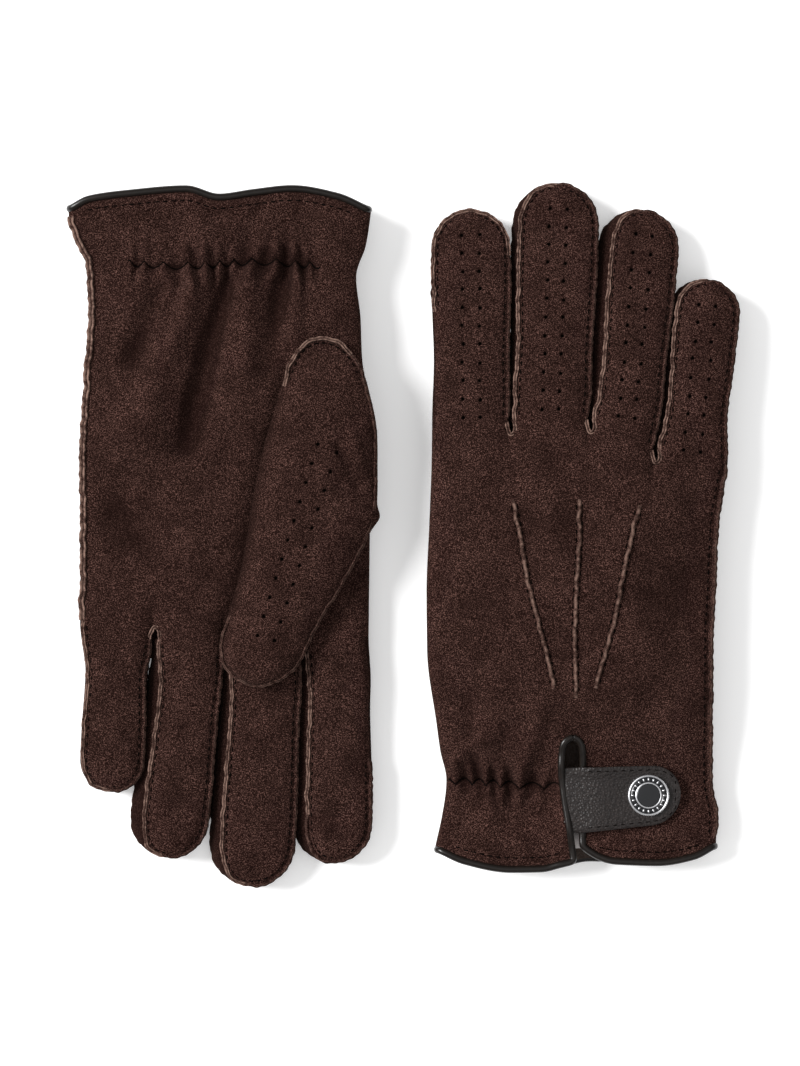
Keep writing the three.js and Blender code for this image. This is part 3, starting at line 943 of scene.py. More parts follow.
    def thumb(self) -> Surface:
        """The folded thumb lying on the palm, closed all round.

        Returns:
            The thumb, in the glove frame.
        """
        y = self.thumb_rows(225)
        x, half, tail = self.thumb_plan(y)
        u = np.linspace(-1, 1, 91)
        rise, wall = self.thumb_rise(y)
        px = x[:, None] + u * half[:, None]
        py = np.broadcast_to(y[:, None], px.shape) - THUMB_LEAN * u * half[:, None]
        if self.side is Side.LEFT:
            px = px - 1.7 * bell(py - 115, 3.2) * np.clip(-u, 0, 1) ** 4
        uneven = 0.35 * ripple(px, py, 77, 26) + 0.2 * ripple(px, py, 78, 12)
        uneven = uneven - 2.0 * self.fold(px, py, (-43, 90), (-54, 112), 2.6)
        uneven = uneven + 1.3 * self.fold(px, py, (-48, 86), (-58, 109), 3)
        dome = (rise - wall)[:, None] * (1 - np.abs(u) ** 2.7) ** 0.7 * (tail[:, None] ** 0.7)
        floor = np.full_like(px, THUMB_FLOOR)
        mark = pits(px, py, self.thumb_holes())
        top = floor - wall[:, None] - dome - uneven * (1 - u**2) * tail[:, None] + HOLE_DEPTH * mark
        around = np.linspace(-1, 1, 9)[1:-1]
        bulge = 1.1 * np.sqrt(1 - around**2)
        out = np.minimum(1, 0.2 + tail)[:, None] * bulge
        sides = []
        for sign, edge in ((1, -1), (-1, 0)):
            z = floor[:, :1] - wall[:, None] * (1 - sign * around) / 2
            along = np.repeat(py[:, edge, None], len(around), 1)
            sides.append(np.stack([px[:, edge, None] + sign * out, along, z], -1))
        underside = np.stack([px, py, floor], -1)[:, ::-3]
        loop = np.concatenate([np.stack([px, py, top], -1), sides[0], underside, sides[1]], 1)
        pit, strip = np.zeros((2, *loop.shape[:2]))
        # Painted shade in the thumb's punched holes.
        pit[:, : len(u)] = mark
        # Painted shade along the thumb's inner edge and side wall, where it folds against the palm.
        strip[:, 82:98] = np.linspace(0, 1, 16)
        return Surface.grid(loop, closed=True, marks={"pit": pit, "strip": strip}).flipped()

    @staticmethod
    def thumb_rows(count: int) -> Array:
        """The rows along the thumb, closer together at its rounded ends.

        Args:
            count: how many lie between the rounded ends, with two that the ends already have.

        Returns:
            y of each row, from the root to the tip.
        """
        turn = np.linspace(0, np.pi / 2, 26)
        root = THUMB_START + THUMB_ROOT_ROUND * (1 - np.cos(turn))
        tip = THUMB_STRAIGHT[1] + THUMB_TIP_ROUND * np.sin(turn)
        return np.concatenate([root, np.linspace(*THUMB_STRAIGHT, count)[1:-1], tip])

    def thumb_rise(self, y: Array) -> tuple[Array, Array]:
        """How far the thumb stands out from the palm.

        Args:
            y: places along the hand.

        Returns:
            Its whole height and the height of its side walls.
        """
        rise = self.size.thumb_thickness * curve_through(THUMB_RISE, y)
        return rise, np.minimum(0.42 * rise, 3.6)

    def thumb_plan(self, y: Array) -> tuple[Array, Array, Array]:
        """The thumb's outline. The right one lies under its hand, so it is narrower and further in.

        Args:
            y: places along the hand.

        Returns:
            Of each place, the middle, the half width, and the share of it that the ends' rounding leaves.
        """
        end = THUMB_STRAIGHT[1] + THUMB_TIP_ROUND
        root = np.clip((y - THUMB_START) / THUMB_ROOT_ROUND, 0, 1)
        tip = np.clip((end - y) / THUMB_TIP_ROUND, 0, 1)
        tail = (1 - (1 - root) ** 2.2) ** 0.5 * (1 - (1 - tip) ** 2.2) ** 0.5
        hidden = bell(y - 112, 38) if self.side is Side.RIGHT else 0 * y
        half = curve_through(THUMB_HALF, y) * tail * (1 - 0.12 * hidden)
        return curve_through(THUMB_AXIS, y) + 3.4 * hidden, half, tail

    def thumb_holes(self) -> Array:
        """The centres of the thumb's punched holes.

        Returns:
            (n, 2) places in the glove frame.
        """
        share = np.linspace(0, 1, 11)[:, None]
        return np.concatenate([np.array(a) + share * (np.array(b) - np.array(a)) for a, b in THUMB_HOLES])

    def thumb_seam(self) -> Array:
        """The line of the thumb's seam, round its root, its outer edge and its tip.

        Returns:
            Points in order, in the glove frame.
        """
        y = self.thumb_rows(100)
        x, half, _ = self.thumb_plan(y)
        _, wall = self.thumb_rise(y)
        z = THUMB_FLOOR - wall - 0.1
        inner = np.stack([x + half, y - THUMB_LEAN * half, z], 1)
        outer = np.stack([x - half, y + THUMB_LEAN * half, z], 1)
        return np.concatenate([inner[:30][::-1], outer[1:], inner[::-1][1:34]])


# ---------------------------------------------------------------- sewing


RIDGE_STEP = 0.4  # millimetres between the rows of a sewn ridge
SEAM_SHAPE = [(-0.5, -0.5), (-0.5, 0.75), (-0.42, 1), (-0.2, 0.92), (0, 0.2), (0.2, 0.92), (0.42, 1),
              (0.5, 0.75), (0.5, -0.5)]
SEAM_RAW = [0, 0.3, 1, 0.7, 0, 0.7, 1, 0.3, 0.0]  # how much cut edge shows at each point of the shape
TUCK_SHAPE = [(-0.5, -0.4), (-0.44, 0.4), (-0.28, 0.85), (0, 1), (0.28, 0.85), (0.44, 0.4), (0.5, -0.4)]
# how much paler each point of a tuck's shape is painted; its top is partly worn nap and partly painted
# highlight
TUCK_PALE_TOP = [0, 0, 0.3, 0.6, 0.3, 0, 0.0]
STITCH_RINGS = [(-0.5, 0.1, -0.8), (-0.4, 0.8, -0.1), (0, 1, 0.35), (0.4, 0.8, -0.1), (0.5, 0.1, -0.8)]


def sewing_directions(line: Array) -> tuple[Array, Array, float]:
    """Directions for what is sewn along a line.

    Args:
        line: points in order, (n, 3).

    Returns:
        Unit vectors along it, level vectors to its left, and 1 on the back of the hand or -1 on the palm.
    """
    ahead = np.gradient(line, axis=0)
    ahead /= np.linalg.norm(ahead, axis=1, keepdims=True) + 1e-9
    left = np.stack([-ahead[:, 1], ahead[:, 0], np.zeros(len(line))], 1)
    return ahead, left, 1.0 if line[:, 2].mean() > 0 else -1.0


def ridge(
    path: Array, tilt: float, width: float = 1.5, height: float = 1.15, split: bool = True, bright: float = 1.0
) -> Surface:
    """A sewn ridge whose cut edges stand up, pinched at every stitch.

    Args:
        path: where it runs, in the glove frame.
        tilt: how far it leans to the left of its direction, from 0 (upright) to 1 (flat).
        width: its width.
        height: its height.
        split: whether two edges show, as in a seam, or one fold, as in a tuck.
        bright: how much of the pale cut edge shows.

    Returns:
        The ridge, in the glove frame.
    """
    line = resample(path, RIDGE_STEP)
    _, left, side = sewing_directions(line)
    up = tilt * left + (1 - abs(tilt)) * np.array([0, 0, side])
    shape, raw = (SEAM_SHAPE, SEAM_RAW) if split else (TUCK_SHAPE, TUCK_PALE_TOP)
    along = RIDGE_STEP * np.arange(len(line))
    pinch = 0.5 - 0.5 * np.cos(2 * np.pi * along / STITCH_PITCH)
    wobble = 0.13 * np.sin(2 * np.pi * along / (1.9 * STITCH_PITCH)) + 0.2 * ripple(along, 0 * along, 4, 9)
    ends = ease(along, 0, 3) * ease(along[::-1], 0, 3)
    fullness = [0.9 + 0.14 * pinch, (0.88 + 0.16 * pinch) * (0.3 + 0.7 * ends)]
    size = np.array([width, height]) * np.stack(fullness, 1)
    profile = np.array(shape) * size[:, None] + np.stack([wobble, 0 * wobble], 1)[:, None]
    return Surface.tube(line, up, profile, raw=np.array(raw) * bright)


def stitches(path: Array, offset: float, height: float, length: float = 1.8, radius: float = 0.3) -> Surface:
    """A row of running stitches beside a path.

    Args:
        path: where they run, in the glove frame.
        offset: how far to the left of the path they lie.
        height: how far above the path they lie.
        length: length of one stitch.
        radius: radius of the thread.

    Returns:
        The threads, in the glove frame.
    """
    line = resample(path, STITCH_PITCH)[1:-1]
    ahead, left, side = sewing_directions(line)
    up = np.array([0, 0, side])
    places = line + offset * left + height * up
    turn = np.linspace(0, 2 * np.pi, 6, endpoint=False)
    parts = []
    for place, forward, sideways in zip(places, ahead, left):
        ring = [
            place + length * t * forward + radius * (
                w * np.cos(turn)[:, None] * sideways + (w * np.sin(turn)[:, None] + dz) * up
            )
            for t, w, dz in STITCH_RINGS
        ]
        parts.append(Surface.grid(np.array(ring), closed=True))
    joined = Surface.joined(parts)
    return joined.flipped() if side > 0 else joined


def heights_under(path: Array, panel: Surface) -> Array:
    """A path laid on a panel.

    Args:
        path: (n, 2) places in the glove frame.
        panel: the panel it lies on.

    Returns:
        (n, 3) points on the panel.
    """
    off = np.square(path[:, None] - panel.points[None, :, :2]).sum(-1)
    nearest = np.argpartition(off, 6, axis=1)[:, :6]
    z = panel.points[nearest, 2].mean(1)
    z = np.convolve(np.pad(z, 3, mode="edge"), np.ones(7) / 7, mode="valid")
    return np.concatenate([path, z[:, None]], 1)


# ---------------------------------------------------------------- finishes


@dataclass(frozen=True)
class Finish:
    """The look of one material.

    Attributes:
        name: the material's name.
        colour: its linear colour.
        speck: the colour of its specks.
        roughness: how matt it is.
        grain: size of its grain in millimetres.
        bump: strength of its relief.
        sheen: strength of its soft rim light.
        metal: 1 for metal.
        specular: strength of its shine.
    """

    name: str
    colour: tuple[float, float, float]
    speck: tuple[float, float, float]
    roughness: float
    grain: float
    bump: float
    sheen: float = 0.0
    metal: float = 0.0
    specular: float = 0.3


class Look(Enum):
    """Every finish on the gloves: name, colour, specks, roughness, grain, bump, and what differs from plain."""

    SUEDE = Finish("suede", (0.01, 0.0043, 0.0035), (0.165, 0.084, 0.068),
                   1.0, 0.38, 1.0, sheen=0.03, specular=0.0)
    BINDING = Finish("binding", (0.0065, 0.0045, 0.0035), (0.012, 0.0085, 0.0065),
                     0.3, 1.6, 0.12, specular=0.35)
    STRAP = Finish("strap_leather", (0.0085, 0.0058, 0.0052), (0.026, 0.019, 0.017),
                   0.38, 0.7, 1.0, specular=0.42)
    LINING = Finish("lining", (0.05, 0.036, 0.03), (0.09, 0.07, 0.06), 1.0, 0.8, 0.5, sheen=0.2, specular=0.1)
    LABEL = Finish("label", (0.6, 0.55, 0.54), (0.72, 0.68, 0.66), 0.8, 0.5, 0.2)
    THREAD = Finish("thread", (0.0022, 0.0014, 0.0012), (0.006, 0.004, 0.003), 0.9, 0.3, 0.2, specular=0.02)
    STEEL = Finish("snap_metal", (0.86, 0.86, 0.88), (0.74, 0.74, 0.76), 0.4, 3, 0.02, metal=1.0)
    ENAMEL = Finish("snap_cap", (0.006, 0.0065, 0.008), (0.008, 0.0085, 0.01), 0.3, 3, 0.01, specular=0.5)


RAW_EDGE = (0.23, 0.145, 0.115)
# Painted shade that darkens the punched holes nearly to black.
HOLE_SHADE_COLOUR = (0.004, 0.0024, 0.002)
SHEEN_TINT = (0.75, 0.55, 0.47, 1)
RELIEF = 0.25  # millimetres of height in a finish's bump
LEATHER_CELL = 0.9  # size of the strap leather's grain cells, in millimetres


def build_material(look: Look) -> bpy.types.Material:
    """A procedural material from a finish.

    Args:
        look: which finish.

    Returns:
        The material.
    """
    finish = look.value
    material = bpy.data.materials.new(finish.name)
    material.use_nodes = True
    nodes, links = material.node_tree.nodes, material.node_tree.links
    surface = nodes["Principled BSDF"]
    for key, value in (
        ("Roughness", finish.roughness), ("Metallic", finish.metal), ("Specular IOR Level", finish.specular),
        ("Sheen Weight", finish.sheen), ("Sheen Roughness", 0.5), ("Sheen Tint", SHEEN_TINT),
    ):
        surface.inputs[key].default_value = value
    place = nodes.new("ShaderNodeTexCoord")

    def noise(size_mm: float, detail: float) -> bpy.types.Node:
        """A noise whose lumps have about this size."""
        made = nodes.new("ShaderNodeTexNoise")
        made.inputs["Scale"].default_value = 1 / (size_mm * MM)
        made.inputs["Detail"].default_value = detail
        made.inputs["Roughness"].default_value = 0.65
        links.new(place.outputs["Object"], made.inputs["Vector"])
        return made

    def spread(
        value: bpy.types.NodeSocket, low: float, high: float, out: tuple[float, float]
    ) -> bpy.types.NodeSocket:
        """A value with its stretch from low to high spread over the two numbers of out."""
        made = nodes.new("ShaderNodeMapRange")
        for key, number in (("From Min", low), ("From Max", high), ("To Min", out[0]), ("To Max", out[1])):
            made.inputs[key].default_value = number
        links.new(value, made.inputs["Value"])
        return made.outputs["Result"]

    def mixed(share: bpy.types.NodeSocket, a: object, b: object) -> bpy.types.NodeSocket:
        """Colour a turned into colour b by a share; each is a socket or three numbers."""
        made = nodes.new("ShaderNodeMix")
        made.data_type = "RGBA"
        links.new(share, made.inputs[0])
        for socket, value in ((made.inputs[6], a), (made.inputs[7], b)):
            if isinstance(value, bpy.types.NodeSocket):
                links.new(value, socket)
            else:
                socket.default_value = (*value, 1)
        return made.outputs[2]

    fine, broad = noise(finish.grain, 3), noise(finish.grain * 26, 4)
    specks = spread(fine.outputs["Fac"], 0.5 if look is Look.SUEDE else 0.42, 0.68, (0, 1))
    colour = mixed(specks, finish.colour, finish.speck)
    dark = tuple(0.72 * c for c in finish.colour)
    colour = mixed(spread(broad.outputs["Fac"], 0.38, 0.68, (0, 0.5)), colour, dark)
    if look is Look.SUEDE:
        # Tints from marks: the pale cut edge of seams and the paler top of tucks, painted shade in creases, the
        # thumb's fold and between the fingers together with the darker side strips, and painted shade in the
        # punched holes.
        for mark, tint, top in (("raw", RAW_EDGE, 0.85), ("strip", dark, 0.7), ("pit", HOLE_SHADE_COLOUR, 1.0)):
            read = nodes.new("ShaderNodeAttribute")
            read.attribute_name = mark
            share = spread(read.outputs["Fac"], 0.05, 0.7, (0, top))
            if mark == "raw":
                patchy = nodes.new("ShaderNodeMath")
                patchy.operation = "MULTIPLY"
                links.new(share, patchy.inputs[0])
                links.new(spread(noise(2.4, 3).outputs["Fac"], 0.42, 0.58, (0.15, 1)), patchy.inputs[1])
                share = patchy.outputs["Value"]
            colour = mixed(share, colour, tint)
    links.new(colour, surface.inputs["Base Color"])
    bump = nodes.new("ShaderNodeBump")
    bump.inputs["Strength"].default_value = finish.bump
    bump.inputs["Distance"].default_value = RELIEF * MM
    if look is Look.STRAP:
        cells = nodes.new("ShaderNodeTexVoronoi")
        cells.inputs["Scale"].default_value = 1 / (LEATHER_CELL * MM)
        links.new(place.outputs["Object"], cells.inputs["Vector"])
        links.new(cells.outputs["Distance"], bump.inputs["Height"])
    else:
        links.new(fine.outputs["Fac"], bump.inputs["Height"])
    links.new(bump.outputs["Normal"], surface.inputs["Normal"])
    return material


# ---------------------------------------------------------------- gloves


BINDING_HALF = 1.3, 1.15  # half width and half height of the bound edges
STRAP_ROUND_START, STRAP_ROUND = 26.6, 10.8  # x where the strap's end starts to round, and its radius
STRAP_HALF_THICKNESS, STRAP_TOP = 0.95, 1.85
CAP_PROFILE = [(0, -0.5), (6.4, -0.5), (7.1, -0.1), (7.42, 0.45), (7.42, 0.95), (7.2, 1.3), (6.95, 1.4),
               (6.72, 1.3), (6.6, 1.05), (4.75, 1.05), (4.62, 1.3), (4.4, 1.36), (4.2, 1.2), (0, 1.15)]
ENAMEL_MIDDLE = [(0, 1), (4.25, 1), (4.25, 1.22), (3.9, 1.28), (0, 1.33)]
ENAMEL_BAND = [(4.78, 0.9), (6.58, 0.9), (6.58, 1.1), (4.78, 1.1), (4.78, 0.9)]
SOCKET_PROFILE = [(2.2, -3.4), (4.9, -3.4), (4.9, -2.1), (2.2, -2.1), (2.2, -3.4)]
STUD_PROFILE = [(0, -4.4), (4.8, -4.4), (4.8, -3.9), (1.9, -3.8), (1.9, -2.4), (1.5, -2.2), (0, -2.2)]
TICKS = 20


class Trim:
    """The bound edges, the strap and its press stud on one glove."""

    def __init__(self, shape: GloveShape) -> None:
        """Keeps the shape that the trim follows.

        Args:
            shape: the glove's shape.
        """
        self.shape = shape

    def binding(self) -> Surface:
        """The smooth leather that wraps the cuff's edge and both edges of the slit, in one run.

        Returns:
            The binding, in the glove frame.
        """
        shape = self.shape
        apex = SLIT_TOP / shape.size.crotches[2][1]
        down, across = np.linspace(apex, 0.012, 60), np.linspace(1, 0, 50)
        zero = np.zeros_like(across)
        half = np.linspace(0, np.pi, 14)[1:-1]
        points = [shape.on_panel(1, 1, down, np.ones_like(down))]
        points += [shape.on_panel(1, k, zero, across) for k in (1, 0)]
        palm = [shape.on_panel(-1, k, zero, across[::-1]) for k in range(4)]
        back = [shape.on_panel(1, k, zero, across) for k in (3, 2)]
        back.append(shape.on_panel(1, 2, down[::-1], np.zeros_like(down)))
        ups = [upright(len(run)) for run in points]

        def round_side(a: Array, b: Array, sign: int) -> None:
            """Carries the run round the hand's edge, from a on one face to b on the other."""
            middle, rise = (a + b) / 2, (a - b) / 2
            arc = middle + np.cos(half)[:, None] * rise + np.sin(half)[:, None] * np.array([sign * 1.0, 0, 0])
            points.append(arc)
            ups.append(np.stack([sign * np.sin(half), 0 * half, np.cos(half) * np.sign(rise[2])], 1))

        round_side(points[-1][-1], palm[0][0], -1)
        points += palm
        ups += [upright(len(run), -1.0) for run in palm]
        round_side(palm[-1][-1], back[0][0], 1)
        points += back
        ups += [upright(len(run)) for run in back]
        path, up = np.concatenate(points), np.concatenate(ups)
        keep = np.concatenate([[True], np.linalg.norm(np.diff(path, axis=0), axis=1) > 1e-3])
        path, up = path[keep], up[keep]
        along = distance_along(path)
        even = np.linspace(0, along[-1], int(along[-1] / 0.7))
        path, up = (np.stack([np.interp(even, along, a[:, c]) for c in range(3)], 1) for a in (path, up))
        for _ in range(3):
            path[1:-1] = (path[:-2] + 2 * path[1:-1] + path[2:]) / 4
        turn = np.linspace(0, 2 * np.pi, 14, endpoint=False)
        profile = np.array(BINDING_HALF) * np.stack([np.cos(turn), np.sin(turn)], 1)
        return Surface.tube(path, up, profile)

    def edge_stitches(self) -> Surface:
        """The stitch line inside the cuff's edge, on the side that faces up.

        Returns:
            The threads, in the glove frame.
        """
        face = self.shape.side.value
        s = np.linspace(0.04, 0.96, 40)
        inset = np.full_like(s, 3.9 / 155)
        runs = [((0, 1), slice(4, -3)), ((2, 3), slice(6, -4))] if face > 0 else [(range(4), slice(4, -4))]
        parts = []
        for fingers, kept in runs:
            path = np.concatenate([self.shape.on_panel(face, k, inset, s) for k in fingers])
            parts.append(stitches(path[kept], 0, 0.12, 1.9, 0.24))
        return Surface.joined(parts)

    def strap_point(self, x: Array, a: Array, up: Array) -> Array:
        """Points of the strap.

        Args:
            x: place along it.
            a: -1 to 1 across it.
            up: height over its underside.

        Returns:
            The points, in the glove frame.
        """
        taper = (x + 3) / (STRAP_ROUND_START + 3)
        rounded = STRAP_ROUND * np.sqrt(np.clip(1 - ((x - STRAP_ROUND_START) / STRAP_ROUND) ** 2, 0, 1))
        half = np.where(x > STRAP_ROUND_START, rounded, 12 - 1.2 * taper)
        middle = 22.3 + 1.9 * taper
        under = self.shape.back_height(x, middle) + 1.7 - 0.3 * ease(x, 6, 16) + 0.25 * np.sin(x / 6)
        return np.stack([x, middle + a * half, under - 0.5 * a**2 * ease(x, 6, 0) + up], -1)

    def strap(self) -> Surface:
        """The leather strap that crosses the slit.

        Returns:
            The strap, in the glove frame.
        """
        tip = STRAP_ROUND_START + STRAP_ROUND * np.sin(np.linspace(0, np.pi / 2, 30)[1:])
        x = np.concatenate([np.linspace(-4.4, STRAP_ROUND_START, 70), tip])
        turn = np.linspace(0, 2 * np.pi, 72, endpoint=False)
        a = np.sign(np.cos(turn)) * np.abs(np.cos(turn)) ** 0.3
        up = STRAP_HALF_THICKNESS * (1 + np.sign(np.sin(turn)) * np.abs(np.sin(turn)) ** 0.45)
        xs, aa = np.meshgrid(x, a, indexing="ij")
        body = self.strap_point(xs, aa, np.broadcast_to(up, xs.shape))
        return Surface.grid(with_flat_ends(body), closed=True)

    def strap_stitches(self) -> Surface:
        """The stitch line along the strap's edge.

        Returns:
            The threads, in the glove frame.
        """
        x = np.concatenate([np.linspace(2, 26.4, 40), 26.4 + 9.108 * np.sin(np.linspace(0, np.pi / 2, 16)[1:])])
        sides = [self.strap_point(x, np.full_like(x, a), np.full_like(x, STRAP_TOP)) for a in (-0.86, 0.86)]
        return stitches(np.concatenate([sides[0], sides[1][::-1]]), 0, 0.02, 1.6, 0.17)

    def snap_base(self) -> Array:
        """Where the press stud's cap sits on the strap.

        Returns:
            A point in the glove frame.
        """
        return self.strap_point(np.array([25.8]), np.array([0.02]), np.array([STRAP_TOP]))[0]

    def turned(self, profile: list[Point]) -> Surface:
        """A round piece of the press stud.

        Args:
            profile: (radius, height over the strap) pairs from its underside to its top.

        Returns:
            The piece, in the glove frame.
        """
        turn = np.linspace(0, 2 * np.pi, 64, endpoint=False)
        r, z = np.array(profile, float).T
        ring = np.stack([np.cos(turn), np.sin(turn), 0 * turn], 1)
        points = r[:, None, None] * ring + np.stack([0 * z, 0 * z, z], 1)[:, None] + self.snap_base()
        return Surface.grid(points, closed=True)

    def ticks(self) -> Surface:
        """A plain ring of short bars on the cap's band.

        Returns:
            The bars, in the glove frame.
        """
        base = self.snap_base()
        bars = []
        box = 0.3 * np.array([(-1, -0.2), (1, -0.2), (1, 0.2), (-1, 0.2)])
        for angle in np.linspace(0, 2 * np.pi, TICKS, endpoint=False):
            out = np.array([np.cos(angle), np.sin(angle), 0])
            line = base + np.linspace(5.15, 6.2, 3)[:, None] * out + np.array([0, 0, 1.12])
            bars.append(Surface.tube(line, upright(3), box))
        return Surface.joined(bars)

    def label(self) -> Surface:
        """The blank label on the lining, behind the slit.

        Returns:
            The label, in the glove frame.
        """
        x = np.linspace(-7, 15, 12)
        ring = np.array([(-4, -0.25), (4, -0.25), (4, 0.25), (-4, 0.25)])
        path = np.stack([x, np.full(12, 8.5), np.full(12, -3.2)], 1)
        return Surface.tube(path, upright(12), ring)


class Glove:
    """One whole glove: its shell, fingers, thumb, lining, seams and trim; all but the fingers and the thumb
    ride one of its bodies.
    """

    def __init__(self, size: GloveSize, looks: dict[Look, bpy.types.Material]) -> None:
        """Keeps what the pieces are made from.

        Args:
            size: the glove's sizes.
            looks: the material of each finish.
        """
        self.size, self.looks = size, looks
        self.shape = GloveShape(size)
        self.trim = Trim(self.shape)
        self.label = size.side.label
        self.panels = {face: self.shape.panel(face) for face in (1, -1)}

    def body(self, part: str) -> str:
        """The name of one of the glove's CAD bodies.

        Args:
            part: the part's own name, such as "hand".

        Returns:
            The body's name.
        """
        return f"{self.label}_{part}"

    def add(
        self, name: str, surface: Surface, look: Look, part: str, nodes: tuple[str, ...] = ()
    ) -> bpy.types.Object:
        """Lays a piece on the table and gives it its finish.

        Args:
            name: the piece's name.
            surface: its shape in the glove frame.
            look: its finish.
            part: the body it rides, or an empty name for none.
            nodes: the CAD nodes it stands for.

        Returns:
            The piece.
        """
        made = make_object(f"{self.label}_{name}", self.shape.place(surface), self.looks[look])
        if part:
            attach(made, self.body(part))
        if nodes:
            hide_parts(*(f"{self.label}_{n}" for n in nodes))
        LOG.info("%s: %d points, %d faces", made.name, len(made.data.vertices), len(made.data.polygons))
        return made

    def hand(self) -> None:
        """Adds the back, the palm and the rounded sides between them as one soft shell, and its seams."""
        shape, face = self.shape, self.size.side.value
        shell = [self.panels[1], self.panels[-1], shape.side_wall(False), shape.side_wall(True)]
        self.add("hand_shell", Surface.joined(shell), Look.SUEDE, "hand", ("back", "palm", "elastic"))
        v = np.linspace(0.02, 1, 160)
        outer = shape.on_panel(face, 3, v, np.ones(160)) + np.array([0.5, 0, 0])
        left = self.size.side is Side.LEFT
        tilt, width, bright = (0.2, 2.4, 0.95) if left else (0.55, 1.4, 0.4)
        seam = [ridge(outer[::-1], tilt, width=width, bright=bright)]
        inner = heights_under(outer[::-1, :2] - np.array([2.0, 0]), self.panels[face])
        threads = [] if left else [stitches(inner, 0, 0.0)]
        pleats = heights_under(shape.gather_line(), self.panels[face]) + np.array([0, 0, 0.1 * face])
        turn = np.linspace(0, 2 * np.pi, 7)[:-1]
        thread = 0.24 * np.stack([np.cos(turn), np.sin(turn)], 1)
        threads.append(Surface.tube(pleats, np.array([0, 0, float(face)]), thread))
        for j in (1, 2, 3):
            seam.append(ridge(self.crotch_bend(j, face), 0.0, width=1.5, height=1.0, bright=0.8))
            # The crotch wall gets the darker side-strip tone; the flat sheet beyond it is painted shade that
            # closes the gap between the two fingers.
            web = np.stack([self.crotch_bend(j, 1), self.crotch_bend(j, -1)])
            seam.append(Surface.grid(web, marks={"strip": np.ones(web.shape[:2])}))
            low = self.crotch_bend(j, 1) * np.array([1, 1, 0])
            high = np.linspace(low[0] + [-0.8, 7, 0], low[-1] + [0.8, 7, 0], len(low))
            seam.append(Surface.grid(np.stack([low, high]), marks={"strip": np.ones((2, len(low)))}))
        if face > 0:
            for start, end in POINTS_ON_BACK:
                line = np.linspace(start, end, 60)
                line[:, 0] += 0.5 * np.sin(np.linspace(0, 7, 60) + start[0])
                tuck = heights_under(line, self.panels[1]) + np.array([0, 0, -0.15])
                seam.append(ridge(tuck, 0.0, width=1.9, height=1.25, split=False))
                threads += [stitches(tuck, 1.05, 0.25, 1.7, 0.26), stitches(tuck, -1.05, 0.25, 1.7, 0.22)]
        self.add("hand_seams", Surface.joined(seam), Look.SUEDE, "hand")
        self.add("hand_threads", Surface.joined(threads), Look.THREAD, "hand")

    def crotch_bend(self, j: int, face: int) -> Array:
        """The line of the seam round the crotch between two fingers.

        Args:
            j: 1 for the crotch beside the index finger, up to 3.
            face: 1 for the back and -1 for the palm.

        Returns:
            Points in order, in the glove frame.
        """
        ends = [self.shape.crotch_line(k, np.array([share]))[0] for k, share in ((j - 1, 1.0), (j, 0.0))]
        turn = np.linspace(0, np.pi, 24)[:, None]
        middle, reach = (ends[0] + ends[1]) / 2, (ends[1] - ends[0]) / 2
        bend = middle - np.cos(turn) * reach - np.sin(turn) * np.array([0, 4.6])
        return np.concatenate([bend, face * (WALL + 0.1 + 0.9 * np.sin(turn))], 1)

    def finger(self, k: int) -> None:
        """Adds one finger with its side strips, seams and threads.

        Args:
            k: which finger, from the index.
        """
        shape, finger, side = self.shape, self.size.fingers[k], self.size.side
        edges = [edge for edge, has in (("thumb", k > 0), ("little", k < 3)) if has]
        strips = [f"{finger.name}_fourchette_{edge}_side" for edge in edges]
        names = [f"{finger.name}_finger", *strips]
        if k < 3:
            names.append(f"fourchette_{finger.name}_to_{self.size.fingers[k + 1].name}")
        skin = self.add(f"{finger.name}_skin", shape.finger(k), Look.SUEDE, "", tuple(names))
        seams, threads = [], []
        for face in (1, -1):
            path = shape.seam_path(k, face)
            if k == 0:
                path = path[len(path) // 4 :]
            if k == 3 and face != side.value:
                path = path[: len(path) // 2 + 30]
            middle = len(path) // 2
            for part, rolled in ((path[: middle + 1], side is Side.RIGHT), (path[middle:], side is Side.LEFT)):
                tilt, width, bright = (0.25, 1.5, 0.9) if rolled else (0.6, 1.2, 0.25)
                seams.append(ridge(part, tilt, width, 1.1, bright=bright))
            threads.append(stitches(path, -1.3, 0.98, 1.9))
        pieces = [skin, self.add(f"{finger.name}_seams", Surface.joined(seams), Look.SUEDE, "")]
        pieces.append(self.add(f"{finger.name}_threads", Surface.joined(threads), Look.THREAD, ""))
        start, along, _, _ = shape.finger_axis(k)
        reach = (finger.joint - start[1]) / along[1]
        ends = [np.array([*(start + (reach + d) * along), 0.0]) for d in (-11.0, 11.0)]
        low, high = (shape.laid(e) for e in ends)
        for piece in pieces:
            self.body("hand")
            self.body(f"{finger.name}_end")
            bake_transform(piece)

    def thumb(self) -> None:
        """Adds the thumb folded over the palm."""
        shape = self.shape
        path = shape.thumb_seam()
        root, rest = path[:42], path[41:]
        seams = [ridge(root, 0.3, 1.5, 1.1, bright=0.85), ridge(rest, 0.5, 1.2, 0.9, bright=0.3)]
        pieces = [
            self.add("thumb_skin", shape.thumb(), Look.SUEDE, "", ("thumb_outer", "thumb_inner")),
            self.add("thumb_seams", Surface.joined(seams), Look.SUEDE, ""),
            self.add("thumb_threads", stitches(path[:150], -1.35, 0.8), Look.THREAD, ""),
        ]
        low, high = shape.laid(np.array([-38.4, 53, -7])), shape.laid(np.array([-38.2, 72, -7]))
        for piece in pieces:
            self.body("hand")
            self.body("thumb_fold")
            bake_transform(piece)

